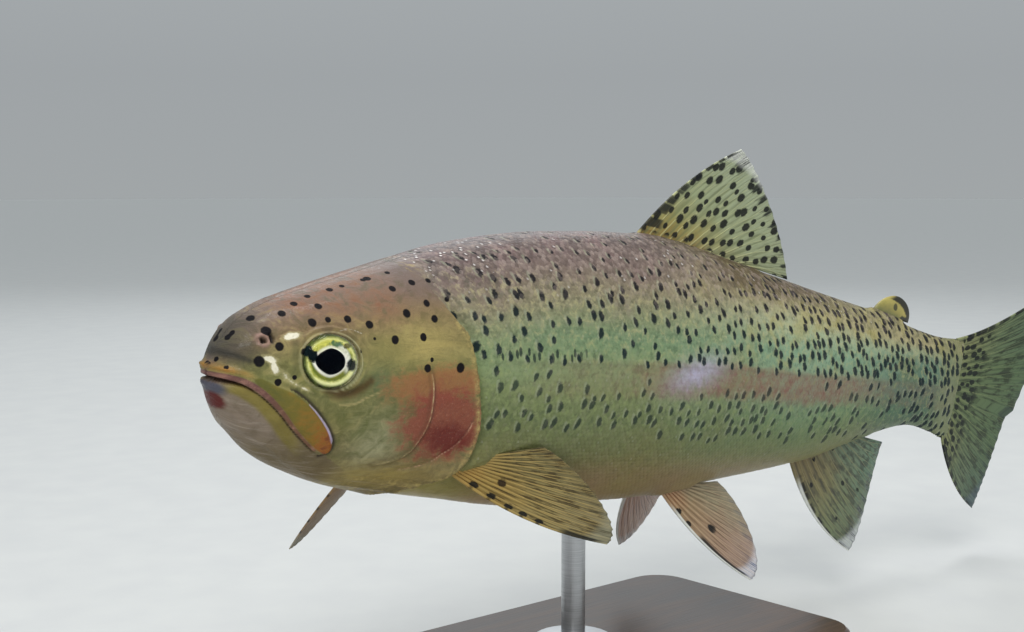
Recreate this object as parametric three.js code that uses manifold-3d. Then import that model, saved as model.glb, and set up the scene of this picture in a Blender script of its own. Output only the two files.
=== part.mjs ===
// Rainbow trout, life size, as a still museum model on a plain display stand.
// Millimetres, +Z up. The origin is the centre of the underside of the stand's base,
// the head points along -X, the tail along +X and the fish's left side along -Y.
//
// The fish is shaped straight first, in its own axes: x runs from the snout to the tail,
// y is sideways (left is negative) and z is height over the body's axis. Every piece is
// parted there, then bent sideways along one gentle swimming curve, and the whole fish
// is banked and set over the stand by a group.
import * as THREE from 'three';
import { mergeVertices, toCreasedNormals } from 'three/addons/utils/BufferGeometryUtils.js';
import Module from 'manifold-3d';

const wasm = await Module();
wasm.setup();

// ---------------------------------------------------------------- driving dimensions
const STANDARD_LENGTH = 365; // snout to the root of the tail fin
const BODY_END = 366; // rear face of the flesh
const GAP = 0.3; // clearance between touching pieces
const ROUND_ABOVE = 2.2; // superellipse powers of the cross-section
const ROUND_BELOW = 2.05;
const SNOUT_X = 3.4; // the lips start here
const SNOUT_ROUND = 10; // length over which the snout rounds off

// Cross-sections of the body: distance from the snout, half width, height above the
// axis and depth below it.
const SECTIONS = [
  [0, 6.0, 8.6, 8.0],
  [11, 10.2, 13.9, 15.6],
  [20, 13.5, 18.3, 22.2],
  [29, 16.4, 21.3, 26.6],
  [42, 19.2, 25.3, 31.2],
  [55, 21.0, 29.2, 33.6],
  [88, 23.6, 38.6, 38.8],
  [128, 25.3, 44.6, 43.7],
  [172, 25.3, 47.2, 44.1],
  [230, 22.0, 40.2, 38.3],
  [274, 16.2, 33.5, 32.4],
  [314, 9.8, 27.4, 22.3],
  [340, 6.6, 21.9, 17.9],
  [355, 4.4, 19.9, 20.4],
  [BODY_END, 1.9, 19.6, 23.6],
];
const STATIONS = 46; // rings along the body
const CREASE_ANGLE = 40; // degrees, sharper edges stay hard
const RING_POINTS = 30; // points round each ring

// Swimming curve seen from above: heading of the axis in degrees at parts of the length.
const HEADINGS = [[0, 8], [0.2, 8], [0.5, 1], [0.8, -3.6], [1, -6], [1.2, -8]];
const TAIL_TWIST = { from: 345, to: 420, degrees: 12 }; // upper lobe leans to the left

// Places of the head's parts, side view.
const EYE = { x: 30.8, z: 4.8, sunk: 2.4, radii: [9, 4.6, 7.7], turnForward: 14, tiltUp: 7 };
const MOUTH = { front: [-2, -0.8], control: [15, 1], corner: [37, -20.5], jawRoot: [47, -46] };
const MAXILLA = { front: [8, -0.4], control: [18, -0.6], end: [33.4, -16.6], proud: 0.9, deep: 2.2 };
const MAXILLA_HALF_WIDTH = { front: 1.2, end: 2.9 };
const GILL_COVER = { front: 61, top: 18, bottom: -27, thick: 3.2, corner: 9 };
// Edge of the head behind the gill covers: over the nape, out to its rearmost point, and
// forward again under the throat, with a control between each pair.
const SHOULDER = { nape: [66, 70], upper: [80, 20], rear: [83, -6], lower: [85, -28], throat: [62, -70] };
const VENT_X = 262; // the trunk ends and the tail stalk begins

// Median fins, side view: root from front to rear, apex, end of the last ray, the two
// controls of the rear margin, and how far the front edge bows out.
const MEDIAN_FINS = {
  dorsal_fin: {
    root: [172, 234], above: true, apex: [219.5, 81.5], lastTip: [254.5, 37],
    margin: [[228, 80], [247, 55]], bow: 3.2,
  },
  adipose_fin: {
    root: [308, 324], above: true, apex: [318, 34.8], lastTip: [331, 24.6],
    margin: [[325, 36.5], [333, 31]], bow: 1.2, rootHalf: 1.5, edgeHalf: 0.6,
  },
  anal_fin: {
    root: [272, 313], above: false, apex: [315.5, -70.3], lastTip: [326, -25],
    margin: [[323.5, -66], [319.5, -40]], bow: 4.6,
  },
};
// Tail fin: root line on the end of the flesh, tips, and the notch between the lobes.
const TAIL_FIN = {
  upper: {
    root: [20.2, -2.3], apex: [421, 55.5], edge: [392, 27],
    notch: [413, -10.5], margin: [[419, 38], [414, 14]],
  },
  lower: {
    root: [-24, -2.8], apex: [407.5, -58], edge: [377, -44],
    notch: [409, -13.5], margin: [[411.5, -49], [406.5, -33]],
  },
};
// Paired fins: each blade is drawn in its own plane, along its front ray and across it.
const PECTORAL = {
  root: [[-3, -1], [7, 6.5]], apex: [62, 1.6], lastTip: [27, 18.5], margin: [[69, 8], [44, 19]], bow: 3.6,
};
const PELVIC = {
  root: [[-2.5, -1], [5, 9]], apex: [46.3, 0.4], lastTip: [16, 21], margin: [[52, 8], [33, 24]], bow: 3.4,
};
// Where each paired fin is rooted, where its front ray points and where its rays fan to.
const PAIRED_FINS = {
  pectoral_fin_left: {
    blade: PECTORAL, at: [81, -16.6, -25.7], along: [0.874, -0.296, -0.385], across: [0.405, 0.005, 0.914],
  },
  pectoral_fin_right: {
    blade: PECTORAL, at: [81, 16.6, -25.7], along: [0.12, 0.68, -0.72], across: [0.9, 0.12, 0.41],
  },
  pelvic_fin_left: {
    blade: PELVIC, at: [195.5, -8, -41], along: [0.687, -0.369, -0.626], across: [0.722, 0.246, 0.646],
  },
  pelvic_fin_right: {
    blade: PELVIC, at: [195.5, 8, -41], along: [0.5, 0.545, -0.67], across: [0.83, -0.1, 0.52],
  },
};
const FIN_HALF = { root: 0.95, tailRoot: 1.3, edge: 0.35 }; // half thickness of a blade
const FIN_GRID = { along: 5, across: 8 };

// Stand and the way the fish sits on it.
const PIVOT_X = 150; // the rod meets the belly here
const AXIS_HEIGHT = 106; // body axis over the floor at the pivot
const NOSE_UP = 6; // degrees
const BANK_LEFT = 4.4; // degrees, the back leans to the fish's left
const BASE = { length: 190, width: 100, height: 12, corner: 14, bevel: 1.5 };
const ROD = { radius: 4, flangeRadius: 14, flangeHeight: 4, chamfer: 1, sides: 28 };

// ---------------------------------------------------------------- materials
const LOOKS = {
  head: { color: 0x9a7d60, roughness: 0.4 },
  jaw: { color: 0x8f8678, roughness: 0.4 },
  maxilla: { color: 0xa8954f, roughness: 0.4 },
  cover: { color: 0xa45f4a, roughness: 0.35 },
  eye: { color: 0xc9b64c, roughness: 0.1 },
  trunk: { color: 0x8a8560, roughness: 0.4 },
  fin: { color: 0xa39a5f, roughness: 0.5 },
  tailFin: { color: 0x6a6a48, roughness: 0.5 },
  wood: { color: 0x3a2a20, roughness: 0.4 },
  steel: { color: 0xb9bcc0, roughness: 0.3, metalness: 1 },
};

// ---------------------------------------------------------------- curves
const radians = THREE.MathUtils.degToRad;
const mix = THREE.MathUtils.lerp;

/** Quadratic curve in the side view through three [x, z] points. */
const quadratic = (...points) =>
  new THREE.QuadraticBezierCurve(...points.map(([x, z]) => new THREE.Vector2(x, z)));

/** Smooth curve through [position, value] pairs that never overshoots between them. */
function monotone(pairs) {
  const x = pairs.map((pair) => pair[0]);
  const y = pairs.map((pair) => pair[1]);
  const last = x.length - 1;
  const slope = x.slice(1).map((next, i) => (y[i + 1] - y[i]) / (next - x[i]));
  const tangent = x.map((_, i) => {
    if (i === 0) return slope[0];
    if (i === last) return slope[last - 1];
    const before = slope[i - 1];
    const after = slope[i];
    return before * after <= 0 ? 0 : (2 * before * after) / (before + after);
  });
  return (at) => {
    const t = Math.min(Math.max(at, x[0]), x[last]);
    let i = 0;
    while (i < last - 1 && t > x[i + 1]) i += 1;
    const span = x[i + 1] - x[i];
    const u = (t - x[i]) / span;
    const rise = 3 * u * u - 2 * u * u * u;
    const enter = u * (1 - u) * (1 - u) * span;
    const leave = u * u * (u - 1) * span;
    return y[i] + (y[i + 1] - y[i]) * rise + tangent[i] * enter + tangent[i + 1] * leave;
  };
}

const halfWidthAt = monotone(SECTIONS.map(([x, w]) => [x, w]));
const aboveAt = monotone(SECTIONS.map(([x, , t]) => [x, t]));
const belowAt = monotone(SECTIONS.map(([x, , , b]) => [x, b]));
const snoutRound = (x) => Math.sqrt(Math.max(0, 1 - (1 - Math.min((x - SNOUT_X) / SNOUT_ROUND, 1)) ** 2));

/** Half width, height above and depth below the axis, with the snout rounded off. */
function sectionAt(x, grow = 0) {
  const round = snoutRound(x);
  return {
    width: Math.max(0.05, halfWidthAt(x) * round + grow),
    above: Math.max(0.05, aboveAt(x) * round + grow),
    below: Math.max(0.05, belowAt(x) * round + grow),
  };
}

/** Distance of the skin from the middle plane at a height z. */
function skinAt(x, z) {
  const { width, above, below } = sectionAt(x);
  const [reach, power] = z > 0 ? [above, ROUND_ABOVE] : [below, ROUND_BELOW];
  return width * Math.max(0, 1 - Math.min(Math.abs(z) / reach, 1) ** power) ** (1 / power);
}

// ---------------------------------------------------------------- solids
/** A closed three.js geometry as a solid that can be cut and joined. */
function solid(geometry) {
  const bare = geometry.clone();
  bare.deleteAttribute('normal');
  bare.deleteAttribute('uv');
  const merged = mergeVertices(bare, 1e-4);
  return new wasm.Manifold(new wasm.Mesh({
    numProp: 3,
    vertProperties: new Float32Array(merged.attributes.position.array),
    triVerts: new Uint32Array(merged.index.array),
  }));
}

function geometryOf(shape) {
  const mesh = shape.getMesh();
  const geometry = new THREE.BufferGeometry();
  geometry.setAttribute('position', new THREE.BufferAttribute(new Float32Array(mesh.vertProperties), 3));
  geometry.setIndex(new THREE.BufferAttribute(new Uint32Array(mesh.triVerts), 1));
  return geometry;
}

/** The straight body as one closed loft, larger or smaller all round by grow. */
function bodyGeometry(grow = 0) {
  const points = [];
  const faces = [];
  const ring = (x) => {
    const { width, above, below } = sectionAt(x, grow);
    for (let j = 0; j < RING_POINTS; j += 1) {
      const angle = (2 * Math.PI * j) / RING_POINTS;
      const [c, s] = [Math.cos(angle), Math.sin(angle)];
      const power = 2 / (s > 0 ? ROUND_ABOVE : ROUND_BELOW);
      const y = width * Math.sign(c) * Math.abs(c) ** power;
      const z = (s > 0 ? above : below) * Math.sign(s) * Math.abs(s) ** power;
      points.push(x, y, z);
    }
  };
  const [front, rear] = [SNOUT_X - grow, BODY_END + Math.max(grow, 0)];
  points.push(front, 0, 0);
  for (let i = 1; i <= STATIONS; i += 1) {
    ring(mix(front, rear, 0.5 - 0.5 * Math.cos((Math.PI * i) / STATIONS)));
  }
  points.push(rear, 0, 0);
  const tailPole = points.length / 3 - 1;
  const id = (i, j) => 1 + (i - 1) * RING_POINTS + (j % RING_POINTS);
  for (let j = 0; j < RING_POINTS; j += 1) {
    faces.push(0, id(1, j + 1), id(1, j));
    faces.push(tailPole, id(STATIONS, j), id(STATIONS, j + 1));
    for (let i = 1; i < STATIONS; i += 1) {
      faces.push(id(i, j), id(i, j + 1), id(i + 1, j + 1), id(i, j), id(i + 1, j + 1), id(i + 1, j));
    }
  }
  const geometry = new THREE.BufferGeometry();
  geometry.setAttribute('position', new THREE.Float32BufferAttribute(points, 3));
  geometry.setIndex(faces);
  return geometry;
}
const bodySolid = (grow) => solid(bodyGeometry(grow));

/** A side-view outline, extruded across the body between two sideways places. */
function slab(shape, fromY, toY) {
  const depth = toY - fromY;
  const geometry = new THREE.ExtrudeGeometry(shape, { depth, bevelEnabled: false, curveSegments: 10 });
  geometry.rotateX(Math.PI / 2);
  geometry.translate(0, toY, 0);
  return solid(geometry);
}
const WIDE = 60; // further out than any skin
const MIDDLE_CLEAR = 1; // paired plates stop this far from the middle plane

/** Everything in front of the shoulder line, moved back by shift. */
function beforeShoulder(shift) {
  const { nape, upper, rear, lower, throat } = SHOULDER;
  const shape = new THREE.Shape();
  shape.moveTo(-WIDE, nape[1]);
  shape.lineTo(-WIDE, throat[1]);
  shape.lineTo(throat[0] + shift, throat[1]);
  shape.quadraticCurveTo(lower[0] + shift, lower[1], rear[0] + shift, rear[1]);
  shape.quadraticCurveTo(upper[0] + shift, upper[1], nape[0] + shift, nape[1]);
  return slab(shape, -WIDE, WIDE);
}

/** The lower jaw's side-view region, with its upper edge along the mouth. */
function underMouth(shift) {
  const shape = new THREE.Shape();
  const { front, control, corner, jawRoot } = MOUTH;
  shape.moveTo(-WIDE, jawRoot[1]);
  shape.lineTo(jawRoot[0] - shift, jawRoot[1]);
  shape.lineTo(corner[0] - shift, corner[1] - shift);
  shape.quadraticCurveTo(control[0], control[1] - shift, front[0], front[1] - shift);
  shape.lineTo(-WIDE, front[1] - shift);
  return slab(shape, -WIDE, WIDE);
}

/** A closed outline moved outwards all round by a distance. */
function offsetOutline(points, distance) {
  const area = THREE.ShapeUtils.area(points);
  const outward = distance * Math.sign(area);
  return points.map((point, i) => {
    const before = points[(i + points.length - 1) % points.length];
    const after = points[(i + 1) % points.length];
    const into = point.clone().sub(before).normalize();
    const out = after.clone().sub(point).normalize();
    const normal = new THREE.Vector2(into.y + out.y, -into.x - out.x).normalize();
    const stretch = 1 / Math.max(0.5, normal.x * into.y - normal.y * into.x);
    return point.clone().addScaledVector(normal, outward * stretch);
  });
}

/** The blade of the upper jaw: a stroke that widens to a round end. */
function maxillaOutline() {
  const line = quadratic(MAXILLA.front, MAXILLA.control, MAXILLA.end);
  const steps = 8;
  const upper = [];
  const lower = [];
  for (let i = 0; i <= steps; i += 1) {
    const p = line.getPoint(i / steps);
    const d = line.getTangent(i / steps);
    const half = mix(MAXILLA_HALF_WIDTH.front, MAXILLA_HALF_WIDTH.end, i / steps);
    upper.push(new THREE.Vector2(p.x - d.y * half, p.y + d.x * half));
    lower.unshift(new THREE.Vector2(p.x + d.y * half, p.y - d.x * half));
  }
  const end = line.getPoint(1);
  const along = line.getTangent(1).multiplyScalar(MAXILLA_HALF_WIDTH.end);
  const centre = new THREE.Vector2();
  const cap = [45, 0, -45].map((turn) => along.clone().rotateAround(centre, radians(turn)).add(end));
  return [...upper, ...cap, ...lower];
}

/** The gill cover: a plate with rounded front corners, open to the shoulder. */
function coverOutline() {
  const { front, top, bottom, corner } = GILL_COVER;
  const shape = new THREE.Shape();
  shape.moveTo(2 * front, top);
  shape.lineTo(front + corner, top);
  shape.quadraticCurveTo(front, top, front, top - corner);
  shape.lineTo(front, bottom + 1.5 * corner);
  shape.quadraticCurveTo(front - 1, bottom, front + corner / 2, bottom);
  shape.lineTo(2 * front, bottom);
  return shape.getPoints(5);
}

/** An eyeball set into one side of the head. */
function eyeGeometry(side, grow) {
  const geometry = new THREE.SphereGeometry(1, 14, 10);
  geometry.rotateX(Math.PI / 2);
  geometry.scale(...EYE.radii.map((radius) => radius + grow));
  geometry.rotateX(side * radians(EYE.tiltUp));
  geometry.rotateZ(side * radians(EYE.turnForward));
  geometry.translate(EYE.x, side * (skinAt(EYE.x, EYE.z) - EYE.sunk), EYE.z);
  return geometry;
}

/** A blade of skin and rays: a thin wedge, thick at its root and thin at its margin. */
function bladeGeometry(blade, place) {
  const { root, apex, lastTip, margin, bow } = blade;
  const { rootHalf = FIN_HALF.root, edgeHalf = FIN_HALF.edge } = blade;
  const corners = [apex, ...margin, lastTip].map(([a, b]) => new THREE.Vector2(a, b));
  const tips = new THREE.CubicBezierCurve(...corners);
  const { along, across } = FIN_GRID;
  const points = [];
  for (const side of [1, -1]) {
    for (let j = 0; j <= across; j += 1) {
      const v = j / across;
      const foot = root(v);
      const tip = tips.getPoint(v);
      const ray = tip.clone().sub(foot);
      const out = new THREE.Vector2(-ray.y, ray.x).normalize();
      const bowSign = Math.sign(out.dot(corners[0].clone().sub(corners[3])));
      for (let i = 0; i <= along; i += 1) {
        const u = i / along;
        const swell = bowSign * bow * (1 - v) ** 3 * 4 * u * (1 - u);
        const p = foot.clone().addScaledVector(ray, u).addScaledVector(out, swell);
        const half = mix(rootHalf, edgeHalf, u);
        points.push(...place(p.x, p.y, side * half).toArray());
      }
    }
  }
  const sheet = (along + 1) * (across + 1);
  const id = (i, j, k) => k * sheet + j * (along + 1) + i;
  const faces = [];
  const corner = (k) => new THREE.Vector3().fromArray(points, 3 * k);
  // Each quad is split along its shorter diagonal, so that no triangle is a sliver.
  const quad = (a, b, c, d) => {
    const straight = corner(a).distanceTo(corner(c)) <= corner(b).distanceTo(corner(d));
    faces.push(...(straight ? [a, b, c, a, c, d] : [b, c, d, b, d, a]));
  };
  for (let j = 0; j < across; j += 1) {
    for (let i = 0; i < along; i += 1) {
      quad(id(i, j, 0), id(i + 1, j, 0), id(i + 1, j + 1, 0), id(i, j + 1, 0));
      quad(id(i, j, 1), id(i, j + 1, 1), id(i + 1, j + 1, 1), id(i + 1, j, 1));
    }
    quad(id(0, j, 0), id(0, j + 1, 0), id(0, j + 1, 1), id(0, j, 1));
    quad(id(along, j, 0), id(along, j, 1), id(along, j + 1, 1), id(along, j + 1, 0));
  }
  for (let i = 0; i < along; i += 1) {
    quad(id(i, 0, 0), id(i, 0, 1), id(i + 1, 0, 1), id(i + 1, 0, 0));
    quad(id(i, across, 0), id(i + 1, across, 0), id(i + 1, across, 1), id(i, across, 1));
  }
  const geometry = new THREE.BufferGeometry();
  geometry.setAttribute('position', new THREE.Float32BufferAttribute(points, 3));
  geometry.setIndex(faces);
  return facingOut(geometry);
}

/** Turns a closed geometry's faces round when its volume comes out negative. */
function facingOut(geometry) {
  const p = geometry.attributes.position;
  const index = Array.from(geometry.index.array);
  const [a, b, c] = [new THREE.Vector3(), new THREE.Vector3(), new THREE.Vector3()];
  let volume = 0;
  for (let i = 0; i < index.length; i += 3) {
    a.fromBufferAttribute(p, index[i]);
    b.fromBufferAttribute(p, index[i + 1]);
    c.fromBufferAttribute(p, index[i + 2]);
    volume += a.dot(b.cross(c));
  }
  if (volume < 0) geometry.setIndex(index.reverse());
  return geometry;
}

// ---------------------------------------------------------------- the swimming curve
const headingAt = monotone(HEADINGS.map(([part, angle]) => [part * STANDARD_LENGTH, radians(angle)]));
const CURVE_STEP = 1;
const CURVE_LENGTH = 450; // past the tips of the tail fin
const curve = [new THREE.Vector2(0, 0)];
for (let x = 0; x < CURVE_LENGTH; x += CURVE_STEP) {
  const heading = headingAt(x + CURVE_STEP / 2);
  const step = new THREE.Vector2(Math.cos(heading), Math.sin(heading)).multiplyScalar(CURVE_STEP);
  curve.push(curve[curve.length - 1].clone().add(step));
}
function curveAt(x) {
  const t = Math.min(Math.max(x / CURVE_STEP, 0), curve.length - 2);
  const i = Math.floor(t);
  const heading = headingAt(x);
  const point = curve[i].clone().lerp(curve[i + 1], t - i);
  const beyond = x - t * CURVE_STEP;
  return point.add(new THREE.Vector2(Math.cos(heading), Math.sin(heading)).multiplyScalar(beyond));
}
const pivot = curveAt(PIVOT_X);

/** Bends a straight geometry along the swimming curve, about the pivot. */
function bend(geometry) {
  const p = geometry.attributes.position;
  for (let i = 0; i < p.count; i += 1) {
    const [x, y, z] = [p.getX(i), p.getY(i), p.getZ(i)];
    const share = THREE.MathUtils.smoothstep(x, TAIL_TWIST.from, TAIL_TWIST.to);
    const twist = radians(TAIL_TWIST.degrees) * share;
    const side = y * Math.cos(twist) - z * Math.sin(twist);
    const height = y * Math.sin(twist) + z * Math.cos(twist);
    const at = curveAt(x).sub(pivot);
    const heading = headingAt(x);
    p.setXYZ(i, at.x - side * Math.sin(heading), at.y + side * Math.cos(heading), height);
  }
  return geometry;
}

// ---------------------------------------------------------------- assembling
const trout = new THREE.Group();
const fish = new THREE.Group();
fish.position.set(0, 0, AXIS_HEIGHT);
fish.rotation.set(radians(BANK_LEFT), radians(NOSE_UP), 0, 'YXZ');
fish.updateMatrix();
trout.add(fish);

function addMesh(parent, name, geometry, look) {
  const material = new THREE.MeshStandardMaterial(look);
  const mesh = new THREE.Mesh(toCreasedNormals(geometry, radians(CREASE_ANGLE)), material);
  mesh.name = name;
  parent.add(mesh);
}
const addPiece = (name, shape, look) => addMesh(fish, name, bend(geometryOf(shape)), look);

// Flesh: the head with its jaw, blades and gill covers, the trunk and the tail stalk.
const body = bodySolid(0);
const SIDES = { left: -1, right: 1 };
let head = body.intersect(beforeShoulder(-GAP / 2)).subtract(underMouth(0));
let jaw = body.intersect(underMouth(GAP));
for (const [sideName, side] of Object.entries(SIDES)) {
  const [fromY, toY] = side < 0 ? [-WIDE, -MIDDLE_CLEAR] : [MIDDLE_CLEAR, WIDE];
  const region = (outline, extra) => slab(new THREE.Shape(offsetOutline(outline, extra)), fromY, toY);
  const bladeShell = bodySolid(MAXILLA.proud).subtract(bodySolid(-MAXILLA.deep));
  const pocketShell = bodySolid(MAXILLA.proud).subtract(bodySolid(-MAXILLA.deep - GAP));
  const pocket = pocketShell.intersect(region(maxillaOutline(), GAP));
  head = head.subtract(pocket);
  jaw = jaw.subtract(pocket);
  addPiece(`maxilla_${sideName}`, bladeShell.intersect(region(maxillaOutline(), 0)), LOOKS.maxilla);

  const coverBlank = head.intersect(region(coverOutline(), 0)).subtract(bodySolid(-GILL_COVER.thick));
  head = head.subtract(region(coverOutline(), GAP).subtract(bodySolid(-GILL_COVER.thick - GAP)));
  addPiece(`gill_cover_${sideName}`, coverBlank, LOOKS.cover);

  head = head.subtract(solid(eyeGeometry(side, GAP)));
  addPiece(`eye_${sideName}`, solid(eyeGeometry(side, 0)), LOOKS.eye);
}
addPiece('head', head, LOOKS.head);
addPiece('lower_jaw', jaw, LOOKS.jaw);

const behindShoulder = body.subtract(beforeShoulder(GAP / 2));
const between = (fromX, toX) => {
  const box = new THREE.BoxGeometry(toX - fromX, 2 * WIDE, 2 * WIDE);
  box.translate((fromX + toX) / 2, 0, 0);
  return solid(box);
};
addPiece('trunk', behindShoulder.intersect(between(0, VENT_X - GAP / 2)), LOOKS.trunk);
addPiece('tail_stalk', behindShoulder.intersect(between(VENT_X + GAP / 2, BODY_END)), LOOKS.trunk);

// Fins on the middle plane stand on the back or hang from the belly.
const onMiddle = (x, z, off) => new THREE.Vector3(x, off, z);
for (const [name, fin] of Object.entries(MEDIAN_FINS)) {
  const root = (v) => {
    const x = mix(fin.root[0], fin.root[1], v);
    return new THREE.Vector2(x, fin.above ? aboveAt(x) + GAP : -belowAt(x) - GAP);
  };
  addPiece(name, solid(bladeGeometry({ ...fin, root }, onMiddle)), LOOKS.fin);
}
for (const [lobe, fin] of Object.entries(TAIL_FIN)) {
  const rootX = BODY_END + GAP;
  const root = (v) => new THREE.Vector2(rootX, mix(fin.root[0], fin.root[1], v));
  const blade = { ...fin, root, lastTip: fin.notch, bow: 0, rootHalf: FIN_HALF.tailRoot };
  const flat = bladeGeometry(blade, onMiddle);
  const outerEdge = quadratic([rootX, fin.root[0]], fin.edge, fin.apex);
  // The outer edge is hollow: its rays start along the stalk and turn out to the tip.
  const p = flat.attributes.position;
  for (let i = 0; i < p.count; i += 1) {
    const column = i % (FIN_GRID.along + 1);
    const row = Math.floor(i / (FIN_GRID.along + 1)) % (FIN_GRID.across + 1);
    const u = column / FIN_GRID.along;
    const fade = (1 - row / FIN_GRID.across) ** 2;
    const straight = root(0).lerp(new THREE.Vector2(...fin.apex), u);
    const shift = outerEdge.getPoint(u).sub(straight).multiplyScalar(fade);
    p.setX(i, p.getX(i) + shift.x);
    p.setZ(i, p.getZ(i) + shift.y);
  }
  addPiece(`caudal_fin_${lobe}`, solid(flat), LOOKS.tailFin);
}

// Paired fins are drawn in their own planes and trimmed clear of the skin.
const clearOfBody = bodySolid(GAP);
for (const [name, fin] of Object.entries(PAIRED_FINS)) {
  const along = new THREE.Vector3(...fin.along).normalize();
  const facing = along.clone().cross(new THREE.Vector3(...fin.across)).normalize();
  const across = facing.clone().cross(along);
  const place = (a, b, off) => new THREE.Vector3(...fin.at)
    .addScaledVector(along, a).addScaledVector(across, b).addScaledVector(facing, off);
  const [start, end] = fin.blade.root.map((point) => new THREE.Vector2(...point));
  const blade = { ...fin.blade, root: (v) => start.clone().lerp(end, v) };
  addPiece(name, solid(bladeGeometry(blade, place)).subtract(clearOfBody), LOOKS.fin);
}

// Stand: a plate with rounded corners, and a rod on a low flange that ends at the belly.
const plate = new THREE.Shape();
const [hx, hy, r] = [BASE.length / 2, BASE.width / 2, BASE.corner];
plate.absarc(hx - r, hy - r, r - BASE.bevel, 0, Math.PI / 2);
plate.absarc(-hx + r, hy - r, r - BASE.bevel, Math.PI / 2, Math.PI);
plate.absarc(-hx + r, -hy + r, r - BASE.bevel, Math.PI, 1.5 * Math.PI);
plate.absarc(hx - r, -hy + r, r - BASE.bevel, 1.5 * Math.PI, 2 * Math.PI);
const baseGeometry = new THREE.ExtrudeGeometry(plate, {
  depth: BASE.height - 2 * BASE.bevel,
  bevelThickness: BASE.bevel,
  bevelSize: BASE.bevel,
  bevelSegments: 1,
  curveSegments: 5,
});
baseGeometry.translate(0, 0, BASE.bevel);
addMesh(trout, 'stand_base', baseGeometry, LOOKS.wood);

const floorOfRod = BASE.height + GAP;
const rodProfile = [
  [0, 0], [ROD.flangeRadius, 0], [ROD.flangeRadius, ROD.flangeHeight - ROD.chamfer],
  [ROD.flangeRadius - ROD.chamfer, ROD.flangeHeight], [ROD.radius, ROD.flangeHeight],
  [ROD.radius, AXIS_HEIGHT - floorOfRod], [0, AXIS_HEIGHT - floorOfRod],
].map(([radius, z]) => new THREE.Vector2(radius, z));
const rodGeometry = new THREE.LatheGeometry(rodProfile, ROD.sides);
rodGeometry.rotateX(Math.PI / 2);
rodGeometry.translate(0, 0, floorOfRod);
const placedBody = bend(geometryOf(clearOfBody)).applyMatrix4(fish.matrix);
addMesh(trout, 'stand_rod', geometryOf(solid(rodGeometry).subtract(solid(placedBody))), LOOKS.steel);

export default trout;
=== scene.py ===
# %% [markdown]
# # A life-size rainbow trout on a display stand
# The solids of the fish are already packed: head, jaw, gill covers, trunk, tail stalk, fins,
# eyes, base and rod. This lesson gives them their looks. One seamless skin replaces the
# solids of flesh, thousands of small scales lie over it, and the fins get their rays.

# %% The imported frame
import math

import bpy
import numpy as np
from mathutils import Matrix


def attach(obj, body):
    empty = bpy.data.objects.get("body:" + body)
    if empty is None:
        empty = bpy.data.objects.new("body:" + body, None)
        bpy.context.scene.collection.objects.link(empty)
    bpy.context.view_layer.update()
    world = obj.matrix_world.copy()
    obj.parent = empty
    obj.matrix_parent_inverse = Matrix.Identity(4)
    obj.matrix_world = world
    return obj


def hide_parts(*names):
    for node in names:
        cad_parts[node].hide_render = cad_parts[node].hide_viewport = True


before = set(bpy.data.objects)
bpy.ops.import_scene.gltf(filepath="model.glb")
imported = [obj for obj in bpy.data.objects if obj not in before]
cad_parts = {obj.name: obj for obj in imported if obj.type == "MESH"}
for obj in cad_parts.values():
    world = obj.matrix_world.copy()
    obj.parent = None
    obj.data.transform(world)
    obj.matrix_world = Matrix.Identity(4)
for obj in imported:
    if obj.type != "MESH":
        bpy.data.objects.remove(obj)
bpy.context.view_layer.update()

BODY = "root"
MM = 0.001

# %% [markdown]
# ## Camera
# A fish is best seen a little from the front and from the side, at the height of its eye.
# The camera looks along a heading and slightly down, with a normal lens.

# %% Camera
CAMERA_PLACE = (-0.32099, -0.33700, 0.16475)
CAMERA_HEADING = 41.088  # degrees from +Y towards +X
CAMERA_DOWN = 5.0
CAMERA_LENS = 50.0

camera = bpy.data.objects.new("camera", bpy.data.cameras.new("camera"))
camera.location = CAMERA_PLACE
camera.rotation_euler = (math.radians(90 - CAMERA_DOWN), 0, -math.radians(CAMERA_HEADING))
camera.data.lens = CAMERA_LENS
camera.data.sensor_width = 36.0
camera.data.sensor_fit = "HORIZONTAL"
camera.data.clip_start = 0.01
bpy.context.scene.collection.objects.link(camera)
bpy.context.scene.camera = camera
print("camera", CAMERA_LENS, "mm lens at", CAMERA_PLACE)

# %% [markdown]
# ## The straight fish
# Every piece of a bent fish is easier to shape while the fish is straight. Here x runs from
# the snout to the tail, y is sideways with the left side negative, and z is height over the
# body's axis, all in millimetres. The cross-sections are the same as the solids' own, so
# whatever is made here lies on them.

# %% Cross-sections
STANDARD_LENGTH = 365
BODY_END = 366
ROUND_ABOVE = 2.2
ROUND_BELOW = 2.05
SNOUT_X = 3.4
SNOUT_ROUND = 10
# Distance from the snout, half width, height above the axis and depth below it.
SECTIONS = [
    [0, 6.0, 8.6, 8.0],
    [11, 10.2, 13.9, 15.6],
    [20, 13.5, 18.3, 22.2],
    [29, 16.4, 21.3, 26.6],
    [42, 19.2, 25.3, 31.2],
    [55, 21.0, 29.2, 33.6],
    [88, 23.6, 38.6, 38.8],
    [128, 25.3, 44.6, 43.7],
    [172, 25.3, 47.2, 44.1],
    [230, 22.0, 40.2, 38.3],
    [274, 16.2, 33.5, 32.4],
    [314, 9.8, 27.4, 22.3],
    [340, 6.6, 21.9, 17.9],
    [355, 4.4, 19.9, 20.4],
    [BODY_END, 1.9, 19.6, 23.6],
]


def stacked(*parts):
    """Coordinates joined into points, after each is spread to the shape of all."""
    return np.stack(np.broadcast_arrays(*parts), -1)


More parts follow.
